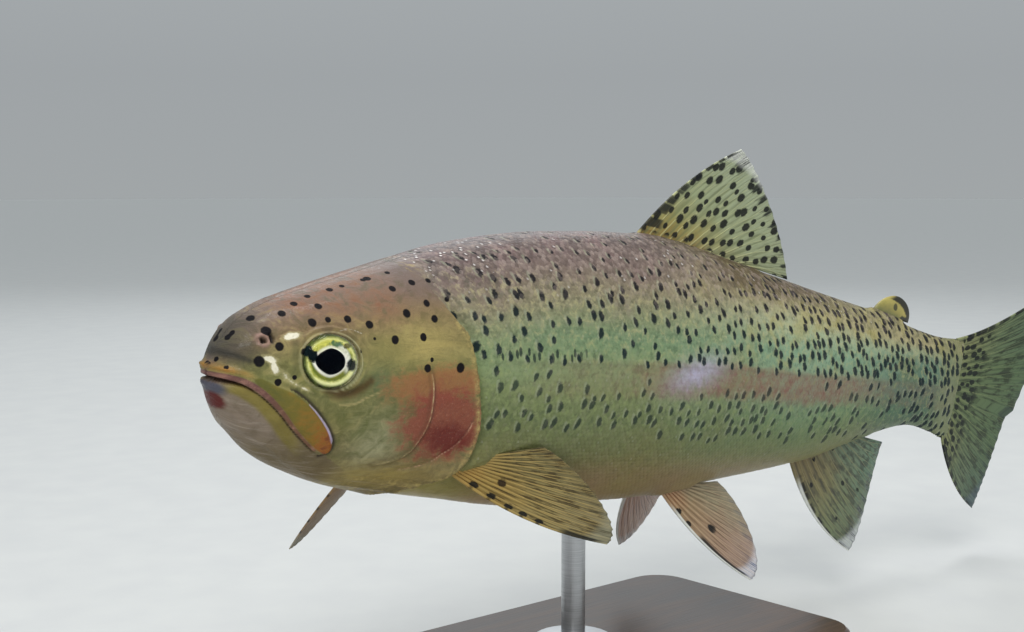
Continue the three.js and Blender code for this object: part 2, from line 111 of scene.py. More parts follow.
def monotone(pairs):
    """Smooth curve through (position, value) pairs that never overshoots between them."""
    x, y = np.array(pairs, float).T
    slope = np.diff(y) / np.diff(x)
    before, after = slope[:-1], slope[1:]
    same = before * after > 0
    inner = np.where(same, 2 * before * after / np.where(same, before + after, 1), 0)
    tangent = np.concatenate([slope[:1], inner, slope[-1:]])

    def curve(at):
        t = np.clip(np.asarray(at, float), x[0], x[-1])
        i = np.clip(np.searchsorted(x, t) - 1, 0, len(x) - 2)
        span = x[i + 1] - x[i]
        u = (t - x[i]) / span
        rise = 3 * u**2 - 2 * u**3
        enter = u * (1 - u) ** 2 * span
        leave = u**2 * (u - 1) * span
        return y[i] + (y[i + 1] - y[i]) * rise + tangent[i] * enter + tangent[i + 1] * leave

    return curve


half_width_at = monotone([(x, width) for x, width, _, _ in SECTIONS])
above_at = monotone([(x, above) for x, _, above, _ in SECTIONS])
below_at = monotone([(x, below) for x, _, _, below in SECTIONS])


def snout_round(x):
    """1 along the body, falling to 0 at the tip of the snout as an ellipse does."""
    share = 1 - np.minimum((np.asarray(x, float) - SNOUT_X) / SNOUT_ROUND, 1)
    return np.sqrt(np.maximum(0, 1 - share**2))


def body_point(x, angle, grow=0.0):
    """Points of the straight body at x and at an angle round it, from the right side over the back."""
    width, above, below = (
        np.maximum(0.05, curve(x) * snout_round(x) + grow) for curve in (half_width_at, above_at, below_at)
    )
    c, s = np.cos(angle), np.sin(angle)
    power = 2 / np.where(s > 0, ROUND_ABOVE, ROUND_BELOW)
    y = width * np.sign(c) * np.abs(c) ** power
    z = np.where(s > 0, above, below) * np.sign(s) * np.abs(s) ** power
    return stacked(np.asarray(x, float), y, z)


def skin_at(x, z):
    """Distance of the skin from the middle plane at height z."""
    reach = np.where(z > 0, above_at(x), below_at(x)) * snout_round(x)
    power = np.where(z > 0, ROUND_ABOVE, ROUND_BELOW)
    share = np.minimum(np.abs(z) / np.maximum(reach, 0.05), 1)
    return half_width_at(x) * snout_round(x) * np.maximum(0, 1 - share**power) ** (1 / power)


print("greatest depth", float(above_at(172) + below_at(172)), "mm")

# %% [markdown]
# ## The swimming bend
# A swimming trout curves gently to one side, and its tail fin leans. The axis is a line
# whose heading changes smoothly, added up in steps of a millimetre. The whole fish is then
# raised over the stand, its nose lifted and its back leaned to the left.

# %% Bending, banking and lifting
HEADINGS = [(0, 8), (0.2, 8), (0.5, 1), (0.8, -3.6), (1, -6), (1.2, -8)]
TWIST_FROM, TWIST_TO, TWIST = 345, 420, math.radians(12)
CURVE_STEP = 1
CURVE_LENGTH = 450
PIVOT_X = 150
AXIS_HEIGHT = 106
NOSE_UP = math.radians(6)
BANK_LEFT = math.radians(4.4)

heading_at = monotone([(part * STANDARD_LENGTH, math.radians(turn)) for part, turn in HEADINGS])
_middles = heading_at(np.arange(0, CURVE_LENGTH, CURVE_STEP) + CURVE_STEP / 2)
_steps = stacked(np.cos(_middles), np.sin(_middles)) * CURVE_STEP
AXIS = np.concatenate([[[0, 0]], np.cumsum(_steps, 0)])


def axis_at(x):
    """Place of the bent axis at x, seen from above."""
    t = np.clip(np.asarray(x, float) / CURVE_STEP, 0, len(AXIS) - 2)
    i = np.floor(t).astype(int)
    place = AXIS[i] + (AXIS[i + 1] - AXIS[i]) * (t - i)[..., None]
    heading = heading_at(x)
    beyond = (x - t * CURVE_STEP)[..., None]
    return place + beyond * stacked(np.cos(heading), np.sin(heading))


def rise(start, end, value):
    """Smooth step from 0 at start to 1 at end."""
    t = np.clip((value - start) / (end - start), 0, 1)
    return t * t * (3 - 2 * t)


def bent(points):
    """Straight fish points in millimetres, as points of the model in metres."""
    x, y, z = np.moveaxis(np.asarray(points, float), -1, 0)
    twist = TWIST * rise(TWIST_FROM, TWIST_TO, x)
    side = y * np.cos(twist) - z * np.sin(twist)
    height = y * np.sin(twist) + z * np.cos(twist)
    heading = heading_at(x)
    place = axis_at(x) - axis_at(np.array(float(PIVOT_X)))
    bx = place[..., 0] - side * np.sin(heading)
    by = place[..., 1] + side * np.cos(heading)
    # Bank about the fish's own length first, then lift the nose.
    cy = by * math.cos(BANK_LEFT) - height * math.sin(BANK_LEFT)
    cz = by * math.sin(BANK_LEFT) + height * math.cos(BANK_LEFT)
    dx = bx * math.cos(NOSE_UP) + cz * math.sin(NOSE_UP)
    dz = -bx * math.sin(NOSE_UP) + cz * math.cos(NOSE_UP)
    return stacked(dx, cy, dz + AXIS_HEIGHT) * MM


print("snout at", bent([SNOUT_X, 0, 0]).round(4), "fork of the tail at", bent([411.0, 0, -12]).round(4))

# %% [markdown]
# ## Lines on the head
# Mouth, gill cover and cheek are drawn as lines in the side view. The relief of the skin
# depends only on how far a point is from such a line, which side of it the point is on, and
# how far along it lies. That is the way a sculptor scores a line and works out from it.

# %% Drawing tools for the side view
def through(points, steps=10):
    """Smooth curve through every point."""
    p = np.array(points, float)
    p = np.concatenate([[2 * p[0] - p[1]], p, [2 * p[-1] - p[-2]]])
    t = np.linspace(0, 1, steps, endpoint=False)[:, None]
    parts = []
    for a, b, c, d in zip(p, p[1:], p[2:], p[3:]):
        bend = a - 2.5 * b + 2 * c - d / 2
        turn = 1.5 * (b - c) + (d - a) / 2
        parts.append(b + t * (c - a) / 2 + t**2 * bend + t**3 * turn)
    return np.concatenate(parts + [p[-2:-1]])


def to_line(line, x, z):
    """Distance to a line in the side view, share of its length there, and side (+1 is left of its way)."""
    start, step = line[:-1], np.diff(line, axis=0)
    length = np.hypot(*step.T)
    best = np.full(x.shape, np.inf)
    share = np.zeros(x.shape)
    side = np.zeros(x.shape)
    run = np.concatenate([[0], np.cumsum(length)])
    for i in range(len(step)):
        px, pz = x - start[i, 0], z - start[i, 1]
        t = np.clip((px * step[i, 0] + pz * step[i, 1]) / length[i] ** 2, 0, 1)
        distance = np.hypot(px - t * step[i, 0], pz - t * step[i, 1])
        nearer = distance < best
        best = np.where(nearer, distance, best)
        share = np.where(nearer, (run[i] + t * length[i]) / run[-1], share)
        side = np.where(nearer, np.sign(step[i, 0] * pz - step[i, 1] * px), side)
    return best, share, side


def bump(value, centre, width):
    """Rounded ridge of height 1 about a centre."""
    return np.exp(-(((value - centre) / width) ** 2))


def between(start, end, share):
    return start + (end - start) * share


def window(value, low, low_full, high_full, high):
    """1 between the two full values, falling smoothly to 0 at the outer ones."""
    return rise(low, low_full, value) * (1 - rise(high_full, high, value))


# %% [markdown]
# ## Mouth and jaw
# A trout's mouth is a long line from the snout to behind the eye. The blade of the upper
# jaw, the maxilla, is a raised plate with a round end that lies on the mouth's rear half.
# A pink lip runs along under it, and a soft olive fold of the lower jaw closes against that.
# In front the mouth stands a little open.

# %% Mouth and jaw
LIP_LINE = through([(-2, -0.9), (3, -0.7), (6.5, -0.9), (9.9, -1.9), (14.7, -5), (19, -8.7), (24.2, -13.8),
                    (30, -18.3), (33.6, -20.2)])
BLADE_TOP = through([(7, 0.9), (12, 0.0), (16.9, -2.0), (21.4, -3.7), (27, -7.7), (32.6, -13.2), (35.2, -17),
                     (35.4, -19.4), (33.6, -20.6)])
JAW_FOLD = through([(5, -12), (14, -17), (26, -24), (38, -30), (50, -33)])
JAW_FOLD_BELOW = through([(14, -21), (24, -26.5), (36, -31.5), (46, -33.5)])


def mouth_relief(x, z):
    distance, share, side = to_line(LIP_LINE, x, z)
    below = -distance * side  # millimetres under the lip's line
    lip_half = between(1.0, 0.45, rise(0.2, 0.9, share))
    gape = between(0.62, 0.16, rise(0.05, 0.35, share))
    slit = 1 - rise(gape * 0.6, gape * 1.7, np.abs(below - lip_half - gape * 0.6))
    slit = slit * (1 - rise(0.9, 1.0, share))
    depth = between(2.6, 0.5, rise(0.05, 0.4, share))
    pink = 1 - rise(lip_half * 0.7, lip_half * 1.25, np.abs(below))
    fold = bump(below, lip_half + 1.7, 1.0) * (1 - rise(0.8, 1, share))
    upper_lip = bump(below, -lip_half - 0.9, 0.9) * (1 - rise(0.18, 0.34, share))
    height = 0.30 * pink + 0.45 * fold + 0.55 * upper_lip - depth * slit

    top_distance, top_share, top_side = to_line(BLADE_TOP, x, z)
    inside = np.minimum(-top_distance * top_side, -below - lip_half * 0.5)
    blade = rise(-0.1, 0.55, inside)
    plate = between(0.2, 0.85, rise(12, 28, x)) + 0.30 * (1 - np.exp(-np.maximum(inside, 0) / 1.2))
    groove = bump(np.where(top_side > 0, top_distance, 9), 0.55, 0.45) * rise(0.15, 0.4, top_share)
    height = height + blade * plate - 0.55 * groove
    for line, deep in ((JAW_FOLD, 0.35), (JAW_FOLD_BELOW, 0.25)):
        fold_distance, fold_share, _ = to_line(line, x, z)
        height -= deep * bump(fold_distance, 0, 0.9) * window(fold_share, 0, 0.2, 0.8, 1)
    under = (side < 0) * rise(0.2, 1.2, distance)
    beyond = 3 * rise(0.93, 1.0, share) + 3 * rise(0.08, 0.03, share)
    marks = {
        "mouth": slit,
        "lip": upper_lip,
        "lip_pink": np.clip(1 - np.abs(below) / lip_half, -2, 1) - beyond,
        "jaw_band": under * (1 - rise(3.2, 4.4, below)) * window(share, 0.10, 0.2, 0.86, 0.98),
        "blade": np.clip(inside, -3, 3) - 3 * rise(12, 8, x),
        # distance above the maxilla's upper edge, where a painted shadow lies in the groove
        "blade_edge": np.where(top_side > 0, top_distance, 9) + 4 * rise(0.4, 0.15, top_share),
        "jaw": under * (1 - rise(36, 46, x)),
    }
    return height, marks


# %% [markdown]
# ## Eye sockets and nostrils
# The eyeball is set in a socket with a thin rim of skin, and a soft fold runs over it. Fish
# have no lids. Each nostril has a small raised ring in front and a slit behind it.

# %% Eye sockets and nostrils
EYE_X, EYE_Z, EYE_SUNK = 30.8, 4.8, 2.4
EYE_RADII = np.array([9.0, 4.6, 7.7])
EYE_TURN, EYE_TILT = math.radians(14), math.radians(7)
NOSTRIL = (12.8, 9.2)
NOSTRIL_SLIT = (14.9, 9.9)


def eye_axes(side):
    """Columns: the eyeball's own x, y and z in the straight fish, for one side."""
    tilt, turn = side * EYE_TILT, side * EYE_TURN
    c, s = math.cos(tilt), math.sin(tilt)
    tilted = np.array([[1, 0, 0], [0, c, -s], [0, s, c]])
    c, s = math.cos(turn), math.sin(turn)
    turned = np.array([[c, -s, 0], [s, c, 0], [0, 0, 1]])
    return turned @ tilted


def eye_centre(side):
    return np.array([EYE_X, side * float(skin_at(EYE_X, EYE_Z) - EYE_SUNK), EYE_Z])


EYE_RIM = math.sqrt(1 - (EYE_SUNK / EYE_RADII[1]) ** 2)  # share of the eyeball's radii that shows


def orbit_relief(points):
    """Height and marks of the eye sockets and nostrils."""
    height = np.zeros(points.shape[:-1])
    marks = {name: height for name in ("orbit", "orbit_rim", "nostril", "nostril_rim")}
    x, y, z = np.moveaxis(points, -1, 0)
    for side in (-1, 1):
        local = (points - eye_centre(side)) @ eye_axes(side)
        here = (y * side > 2) & (np.abs(x - EYE_X) < 22)
        ring = np.hypot(local[..., 0] / EYE_RADII[0], local[..., 2] / EYE_RADII[2]) / EYE_RIM
        angle = np.arctan2(local[..., 2], -local[..., 0])  # 0 is forward, positive is up
        over = bump(angle, 1.7, 0.9)
        behind_below = bump(angle, -2.4, 0.8)
        shape = -3.4 * (1 - rise(1.03, 1.10, ring)) + 0.45 * bump(ring, 1.14, 0.04)
        shape += -0.3 * bump(ring, 1.23, 0.05) + 0.6 * over * bump(ring, 1.33, 0.06)
        shape += -0.35 * over * bump(ring, 1.45, 0.07) + 0.5 * behind_below * bump(ring, 1.3, 0.1)
        shape += -0.4 * behind_below * bump(ring, 1.5, 0.08)
        height = height + np.where(here, shape, 0)
        marks["orbit"] = np.where(here, 1 - rise(1.05, 1.12, ring), marks["orbit"])
        marks["orbit_rim"] = np.where(here, bump(ring, 1.17, 0.035), marks["orbit_rim"])
        hole = np.hypot(x - NOSTRIL[0], z - NOSTRIL[1])
        slit = np.hypot((x - NOSTRIL_SLIT[0]) / 0.7, (z - NOSTRIL_SLIT[1]) / 1.5)
        pits = 1.3 * (1 - rise(0.4, 1.0, hole)) + 0.9 * (1 - rise(0.5, 1.1, slit))
        nose = y * side > 2
        height = height + np.where(nose, 0.5 * bump(hole, 1.25, 0.45) - pits, 0)
        dark = np.maximum(1 - rise(0.5, 1.0, hole), 1 - rise(0.6, 1.1, slit))
        marks["nostril"] = np.where(nose, dark, marks["nostril"])
        marks["nostril_rim"] = np.where(nose, bump(hole, 1.25, 0.5), marks["nostril_rim"])
    return height, marks


# %% [markdown]
# ## Gill covers, cheek and throat
# The gill cover is a thin plate of bones under skin. Its free rear edge stands off the
# shoulder, with a deep crease behind it, and the preopercle and subopercle show as ridges
# across it. Under it the branchiostegal rays fold like a fan towards the throat.

# %% Gill covers, cheek and throat
COVER_EDGE = through([
    (66, 24), (70.8, 17.6), (74.6, 14), (77.9, 6.7), (81.1, -3.2), (84, -13), (83.6, -20.5), (79.5, -26.5),
    (72, -31), (62, -35), (52, -36.5),
])
PREOPERCLE = through([
    (60.5, 9), (61.3, 4.5), (63.1, -0.4), (64, -6.1), (64.1, -11), (62.8, -15.7), (60.2, -20.3),
    (53.6, -22.9), (42, -23.4),
])
OPERCLE_STREAK = through([(64.6, -11), (67, -9.2), (69.9, -6.4), (72, -5.4)])
SUBOPERCLE = through([
    (58, -25.4), (63, -25.4), (69.7, -23.7), (73.5, -20.9), (77.5, -17.9), (80.2, -13.6), (81.2, -9.1),
])
CHEEK_BONE = through([(38, -7), (44, -10.5), (52, -10.5), (58, -6)])
FOLDS_X, FOLDS_Z = (44, 82), (-27, -40)  # where the branchiostegal folds lie
FOLD_SPACING = 2.3


def cover_relief(x, z):
    """Height and marks of the gill covers, the cheek and the folds under them."""
    distance, share, side = to_line(COVER_EDGE, x, z)
    inside = side < 0  # the line runs down, so the head is on its right
    strength = rise(0, 0.12, share) * (1 - 0.55 * rise(0.75, 1, share))
    lip = np.where(inside, np.exp(-distance / 5.0), 1 - rise(0, 0.9, distance))
    crease = np.where(inside, 0, bump(distance, 1.5, 1.0))
    height = strength * (lip - 1.25 * crease)
    pre_distance, pre_share, pre_side = to_line(PREOPERCLE, x, z)
    pre = np.where(pre_side < 0, np.exp(-pre_distance / 4.0), 1 - rise(0, 1.1, pre_distance))
    pre_ends = window(pre_share, 0, 0.15, 0.8, 1)
    height += pre_ends * (0.5 * pre - 0.3 * np.where(pre_side > 0, bump(pre_distance, 1.6, 0.8), 0))
    sub_distance, sub_share, _ = to_line(SUBOPERCLE, x, z)
    sub_ends = window(sub_share, 0, 0.1, 0.93, 1)
    height -= 0.4 * sub_ends * bump(sub_distance, 0, 0.6)
    streak_distance, _, _ = to_line(OPERCLE_STREAK, x, z)
    cheek_distance, cheek_share, _ = to_line(CHEEK_BONE, x, z)
    height -= 0.22 * bump(cheek_distance, 0, 0.9) * window(cheek_share, 0, 0.2, 0.8, 1)
    across = z + 0.12 * (x - 60)
    fan = window(x, FOLDS_X[0], FOLDS_X[0] + 8, FOLDS_X[1] - 6, FOLDS_X[1])
    fan = fan * window(-across, -FOLDS_Z[0], -FOLDS_Z[0] + 2, -FOLDS_Z[1] - 3, -FOLDS_Z[1])
    height += 0.22 * fan * np.cos(2 * math.pi * across / FOLD_SPACING) * inside
    marks = {
        "cover_edge": np.where(inside, distance, -distance) + 8 * (1 - strength),
        "preopercle": pre_distance + 6 * (1 - pre_ends),
        "subopercle": np.minimum(sub_distance + 6 * (1 - sub_ends), streak_distance + 0.2),
        "fan": fan * inside,
        "behind_cover": np.where(inside, 0, 1.0),
    }
    return height, marks


# %% [markdown]
# ## Fins as blades
# Each fin is a fan of rays held by a thin web. A point of a fin is given by v, from the
# front ray (0) to the last (1), and u, from the root (0) to the margin (1). The front edge
# bows a little. Fins on the middle plane stand upright. Paired fins lie in planes of
# their own.

# %% Fin outlines
ROOT_HALF = 0.95  # half the thickness of a fin's solid at its root
GAP = 0.3
TAIL_FOOT = BODY_END + GAP
TAIL = {"bow": 0, "rays": 11, "root_half": 1.3}
PECTORAL = {
    "root": [(-3, -1), (7, 6.5)], "bow": 3.6, "rays": 13,
    "tips": [(62, 1.6), (69, 8), (44, 19), (27, 18.5)],
}
PELVIC = {
    "root": [(-2.5, -1), (5, 9)], "bow": 3.4, "rays": 10,
    "tips": [(46.3, 0.4), (52, 8), (33, 24), (16, 21)],
}
FINS = {
    "dorsal_fin": {
        "root_x": (172, 234), "above": True, "bow": 3.2, "rays": 12,
        "tips": [(219.5, 81.5), (228, 80), (247, 55), (254.5, 37)],
    },
    "adipose_fin": {
        "root_x": (308, 324), "above": True, "bow": 1.2, "rays": 0, "root_half": 1.5,
        "tips": [(318, 34.8), (325, 36.5), (333, 31), (331, 24.6)],
    },
    "anal_fin": {
        "root_x": (272, 313), "above": False, "bow": 4.6, "rays": 11,
        "tips": [(315.5, -70.3), (323.5, -66), (319.5, -40), (326, -25)],
    },
    "caudal_fin_upper": {
        **TAIL, "root": [(TAIL_FOOT, 20.2), (TAIL_FOOT, -2.3)], "edge": (392, 27),
        "tips": [(421, 55.5), (419, 38), (414, 14), (413, -10.5)],
    },
    "caudal_fin_lower": {
        **TAIL, "root": [(TAIL_FOOT, -24), (TAIL_FOOT, -2.8)], "edge": (377, -44),
        "tips": [(407.5, -58), (411.5, -49), (406.5, -33), (409, -13.5)],
    },
    "pectoral_fin_left": {
        **PECTORAL,
        "at": (81, -16.6, -25.7), "along": (0.874, -0.296, -0.385), "across": (0.405, 0.005, 0.914),
    },
    "pectoral_fin_right": {
        **PECTORAL,
        "at": (81, 16.6, -25.7), "along": (0.12, 0.68, -0.72), "across": (0.9, 0.12, 0.41),
    },
    "pelvic_fin_left": {
        **PELVIC,
        "at": (195.5, -8, -41), "along": (0.687, -0.369, -0.626), "across": (0.722, 0.246, 0.646),
    },
    "pelvic_fin_right": {
        **PELVIC,
        "at": (195.5, 8, -41), "along": (0.5, 0.545, -0.67), "across": (0.83, -0.1, 0.52),
    },
}


def unit(vectors):
    """Vectors of the same direction and a length of 1."""
    return vectors / np.maximum(np.linalg.norm(vectors, axis=-1, keepdims=True), 1e-9)


def cubic(points, t):
    a, b, c, d = (np.array(p, float) for p in points)
    t = np.asarray(t, float)[..., None]
    return a * (1 - t) ** 3 + 3 * b * t * (1 - t) ** 2 + 3 * c * t**2 * (1 - t) + d * t**3


def fin_root(fin, v):
    if "root_x" in fin:
        x = between(*fin["root_x"], v)
        return stacked(x, above_at(x) + GAP if fin["above"] else -below_at(x) - GAP)
    start, end = np.array(fin["root"], float)
    return between(start, end, np.asarray(v, float)[..., None])


def fin_plane(fin, u, v):
    """Points of a fin in its own plane."""
    u, v = np.broadcast_arrays(np.asarray(u, float), np.asarray(v, float))
    foot, tip = fin_root(fin, v), cubic(fin["tips"], v)
    ray = tip - foot
    out = unit(stacked(-ray[..., 1], ray[..., 0]))
    lean = np.sign(out @ (np.array(fin["tips"][0], float) - np.array(fin["tips"][3], float)))
    swell = lean * fin["bow"] * (1 - v) ** 3 * 4 * u * (1 - u)
    point = foot + ray * u[..., None] + out * swell[..., None]
    if "edge" in fin:
        start, tip0 = np.array(fin["root"][0], float), np.array(fin["tips"][0], float)
        w = u[..., None]
        curve = start * (1 - w) ** 2 + 2 * np.array(fin["edge"], float) * w * (1 - w) + tip0 * w**2
        point = point + (curve - between(start, tip0, w)) * ((1 - v) ** 2)[..., None]
    return point


def fin_point(fin, u, v, off=0.0):
    """Points of a fin in the straight fish; off is the distance out of its plane."""
    plane = fin_plane(fin, u, v)
    off = np.broadcast_to(np.asarray(off, float), plane.shape[:-1])
    if "at" not in fin:
        return stacked(plane[..., 0], off, plane[..., 1])
    along = unit(np.array(fin["along"]))
    facing = unit(np.cross(along, fin["across"]))
    across = np.cross(facing, along)
    point = np.array(fin["at"]) + plane[..., :1] * along + plane[..., 1:] * across
    return point + off[..., None] * facing


for name, fin in FINS.items():
    front = np.linalg.norm(fin_plane(fin, 1, 0) - fin_plane(fin, 0, 0))
    print(f"{name:20s} front edge {front:5.1f} mm, {fin['rays']} rays")

# %% [markdown]
# ## The skin's surface
# One function gives the whole surface: the cross-section, pushed in or out by the relief of
# the head, by the lateral line and by the swelling where each fin is rooted. The skin mesh
# and the roots of the scales both read it, so the scales lie on the skin everywhere.

# %% Relief of the whole body
lateral_at = monotone([(0, 4), (60, 6.8), (97, 6.5), (184, 5.9), (282, 2.2), (344, -0.7), (BODY_END, -1.6)])
SCALE_DEPTH = 0.3  # the skin lies this far inside the solids where scales cover it
STALK_ROUND = 3.2  # the skin runs on into the tail fin and closes over this length
FIN_SWELLING = {  # height and reach of the flesh round each fin's root
    "dorsal_fin": (0.7, 2.6), "adipose_fin": (1.4, 3.0), "anal_fin": (0.8, 3.0),
    "pectoral_fin_left": (1.5, 4.5), "pectoral_fin_right": (1.5, 4.5),
    "pelvic_fin_left": (1.2, 4.0), "pelvic_fin_right": (1.2, 4.0),
}


def to_segment(points, start, end):
    step = end - start
    t = np.clip(((points - start) @ step) / (step @ step), 0, 1)
    return np.linalg.norm(points - (start + t[..., None] * step), axis=-1)


def fin_relief(points):
    height = np.zeros(points.shape[:-1])
    for name, (lift, reach) in FIN_SWELLING.items():
        ends = fin_point(FINS[name], 0.0, np.array([0.0, 1.0]))
        middle = fin_point(FINS[name], 0.0, 0.5)
        distance = np.minimum(to_segment(points, ends[0], middle), to_segment(points, middle, ends[1]))
        height = height + lift * np.exp(-((distance / reach) ** 2))
    return height


def surface(x, angle):
    """Straight points, outward normals and marks of the finished skin."""
    x, angle = np.broadcast_arrays(np.asarray(x, float), np.asarray(angle, float))
    near = 0.05
    inner = np.minimum(x, BODY_END)
    point = body_point(inner, angle)
    around = body_point(inner, angle + 0.01) - body_point(inner, angle - 0.01)
    ahead = body_point(inner + near, angle) - body_point(np.maximum(inner - near, SNOUT_X), angle)
    ahead[..., 0] = np.maximum(ahead[..., 0], near)
    normal = unit(np.cross(around, ahead))
    past = np.clip((x - BODY_END) / STALK_ROUND, 0, 1)
    point[..., 0] = x
    point[..., 1] *= np.sqrt(1 - past**2)

    height = np.zeros(x.shape)
    marks = {}
    head = x < 98
    hx, _, hz = point[head].T
    mouth, marks_mouth = mouth_relief(hx, hz)
    orbit, marks_orbit = orbit_relief(point[head])
    cover, marks_cover = cover_relief(hx, hz)
    height[head] = mouth + orbit + cover
    for name, value in {**marks_mouth, **marks_orbit, **marks_cover}.items():
        marks[name] = np.zeros(x.shape)
        marks[name][head] = value
    marks["behind_cover"][~head] = 1
    inset = marks["behind_cover"] * rise(62, 70, x)
    height = height + fin_relief(point) * rise(60, 70, x) - SCALE_DEPTH * inset
    height = height + 0.15 * bump(point[..., 2], lateral_at(x), 0.8) * rise(80, 90, x)
    reach = np.where(point[..., 2] > 0, above_at(inner), below_at(inner)) * snout_round(x)
    marks["tone"] = np.clip(point[..., 2] / np.maximum(reach, 0.05), -1, 1)
    return point + normal * height[..., None], normal, marks


# %% [markdown]
# ## A ruler on the skin
# Spots, stripe and rows of scales follow the skin, so each point also gets its girth: the
# distance over the skin from the lateral line, positive towards the back. A table of
# cross-sections gives it, and the same table read backwards finds a row of scales.

# %% Girth over the skin
TABLE_X = np.linspace(SNOUT_X + 0.3, BODY_END, 220)
TABLE_TURN = np.linspace(-math.pi / 2, math.pi / 2, 181)  # from the belly to the back, on the right
_ring = body_point(TABLE_X[:, None], TABLE_TURN[None])
_run = np.cumsum(np.hypot(*np.moveaxis(np.diff(_ring[..., 1:], axis=1), -1, 0)), 1)
_run = np.concatenate([np.zeros((len(TABLE_X), 1)), _run], 1)
_zero = [np.interp(lateral_at(x), _ring[i, :, 2], _run[i]) for i, x in enumerate(TABLE_X)]
GIRTH = _run - np.array(_zero)[:, None]


def girth_row(x):
    """Girth at each turn of the table, at x."""
    row = np.interp(x, TABLE_X, np.arange(len(TABLE_X)))
    i = int(min(row, len(TABLE_X) - 2))
    return GIRTH[i] + (GIRTH[i + 1] - GIRTH[i]) * (row - i)


def girth_at(x, turn):
    row = np.clip(np.interp(x, TABLE_X, np.arange(len(TABLE_X))), 0, len(TABLE_X) - 1.001)
    column = np.clip((turn + math.pi / 2) / math.pi * 180, 0, 179.999)
    i, j = row.astype(int), column.astype(int)
    a, b = row - i, column - j
    near = GIRTH[i, j] * (1 - b) + GIRTH[i, j + 1] * b
    far = GIRTH[i + 1, j] * (1 - b) + GIRTH[i + 1, j + 1] * b
    return near * (1 - a) + far * a


# Spots stand further apart on the front of the body than on the tail stalk.
spot_spacing_at = monotone([(0, 7.0), (80, 5.7), (150, 5.5), (220, 5.0), (300, 4.5), (420, 4.1)])
RUN_X = np.arange(0, 441, 1.0)
SPOT_RUN = np.concatenate([[0], np.cumsum(1 / spot_spacing_at(RUN_X[:-1] + 0.5))])
SIDE_APART, CELLS_APART = 50.0, 11.0  # keep the patterns of the two sides apart


def skin_coordinates(x, girth, side):
    """The attributes that markings read: place in millimetres, and place counted in spot cells."""
    spacing = spot_spacing_at(x)
    run = np.interp(x, RUN_X, SPOT_RUN)
    place = stacked(x, girth, SIDE_APART * side)
    cells = stacked(run, girth / spacing, CELLS_APART * side)
    return {"place": place, "cells": cells, "spacing": spacing}


print("half girth at x 172:", round(float(np.ptp(girth_row(172.0))), 1), "mm")

# %% [markdown]
# ## The skin mesh
# Rings of points run round the body: close together on the head, where the relief is fine,
# and wider on the trunk, which the scales cover. The rings close in a point at the snout
# and at the tail.

# %% Mesh helpers
def new_mesh_object(name, points, faces, attributes=None, smooth=True):
    """A mesh object from points in metres, with named point attributes."""
    mesh = bpy.data.meshes.new(name)
    mesh.from_pydata(np.asarray(points).tolist(), [], [tuple(face) for face in faces])
    mesh.validate()
    add_attributes(mesh, attributes or {})
    if smooth:
        mesh.shade_smooth()
    return new_object(name, mesh)


def new_object(name, data):
    made = bpy.data.objects.new(name, data)
    bpy.context.scene.collection.objects.link(made)
    return made


def add_attributes(mesh, fields):
    """A named value, or a vector of three, at every point of a mesh."""
    for key, values in fields.items():
        values = np.asarray(values, np.float32)
        vector = values.ndim == 2
        layer = mesh.attributes.new(key, "FLOAT_VECTOR" if vector else "FLOAT", "POINT")
        layer.data.foreach_set("vector" if vector else "value", values.ravel())


def triangles(piece):
    return sum(len(face.vertices) - 2 for face in piece.data.polygons)


# %% The skin
RING_POINTS = 296
SNOUT_RINGS = 20
_snout = SNOUT_X + SNOUT_ROUND * (1 - np.cos(np.linspace(0.06, math.pi / 2, SNOUT_RINGS)))
_head = np.arange(_snout[-1] + 0.42, 88, 0.42)
_trunk = _head[-1] + np.cumsum(np.minimum(0.5 + 0.08 * np.arange(200), 3.0))
_trunk = _trunk[_trunk < BODY_END - 0.5]
_stalk = BODY_END + STALK_ROUND * np.sin(np.linspace(0, math.pi / 2 - 0.05, 6))
STATIONS = np.concatenate([_snout, _head, _trunk, _stalk])
RING_ANGLES = np.linspace(0, 2 * math.pi, RING_POINTS, endpoint=False)

skin_points, _, skin_marks = surface(STATIONS[:, None], RING_ANGLES[None])
RING_SIDE = np.where(np.cos(RING_ANGLES) >= 0, 1.0, -1.0)
RING_TURN = np.arcsin(np.clip(np.sin(RING_ANGLES), -1, 1))


def with_poles(values):
    """Grid values as a flat list, with one value more for each end of the skin."""
    values = np.asarray(values, float)
    flat = values.reshape(-1, *values.shape[2:])
    return np.concatenate([values[:1].mean(1), flat, values[-1:].mean(1)])


def skin_faces(stations, ring):
    first = np.arange(ring)
    following = (first + 1) % ring
    faces = [(0, 1 + b, 1 + a) for a, b in zip(first, following)]
    row = 1 + np.arange(stations - 1)[:, None] * ring
    quads = stacked(row + first, row + following, row + ring + following, row + ring + first)
    faces += quads.reshape(-1, 4).tolist()
    pole = 1 + stations * ring
    last = 1 + (stations - 1) * ring
    faces += [(pole, last + a, last + b) for a, b in zip(first, following)]
    return faces


_grid_x, _grid_side, _grid_turn = np.broadcast_arrays(STATIONS[:, None], RING_SIDE, RING_TURN)
_grid_girth = girth_at(_grid_x, _grid_turn)
skin_attributes = {**skin_coordinates(_grid_x, _grid_girth, _grid_side), **skin_marks}
skin = new_mesh_object(
    "skin",
    bent(with_poles(skin_points)),
    skin_faces(len(STATIONS), RING_POINTS),
    {key: with_poles(values) for key, values in skin_attributes.items()},
)
print("skin:", triangles(skin), "triangles,", len(STATIONS), "rings")


# %% [markdown]
# ## Paint as arithmetic
# Colours are built in shader nodes. A socket is wrapped so that it can be added, multiplied
# and compared like a number, and each sum becomes a maths node. Every other node is made by
# one method that takes its type, its settings and its values.

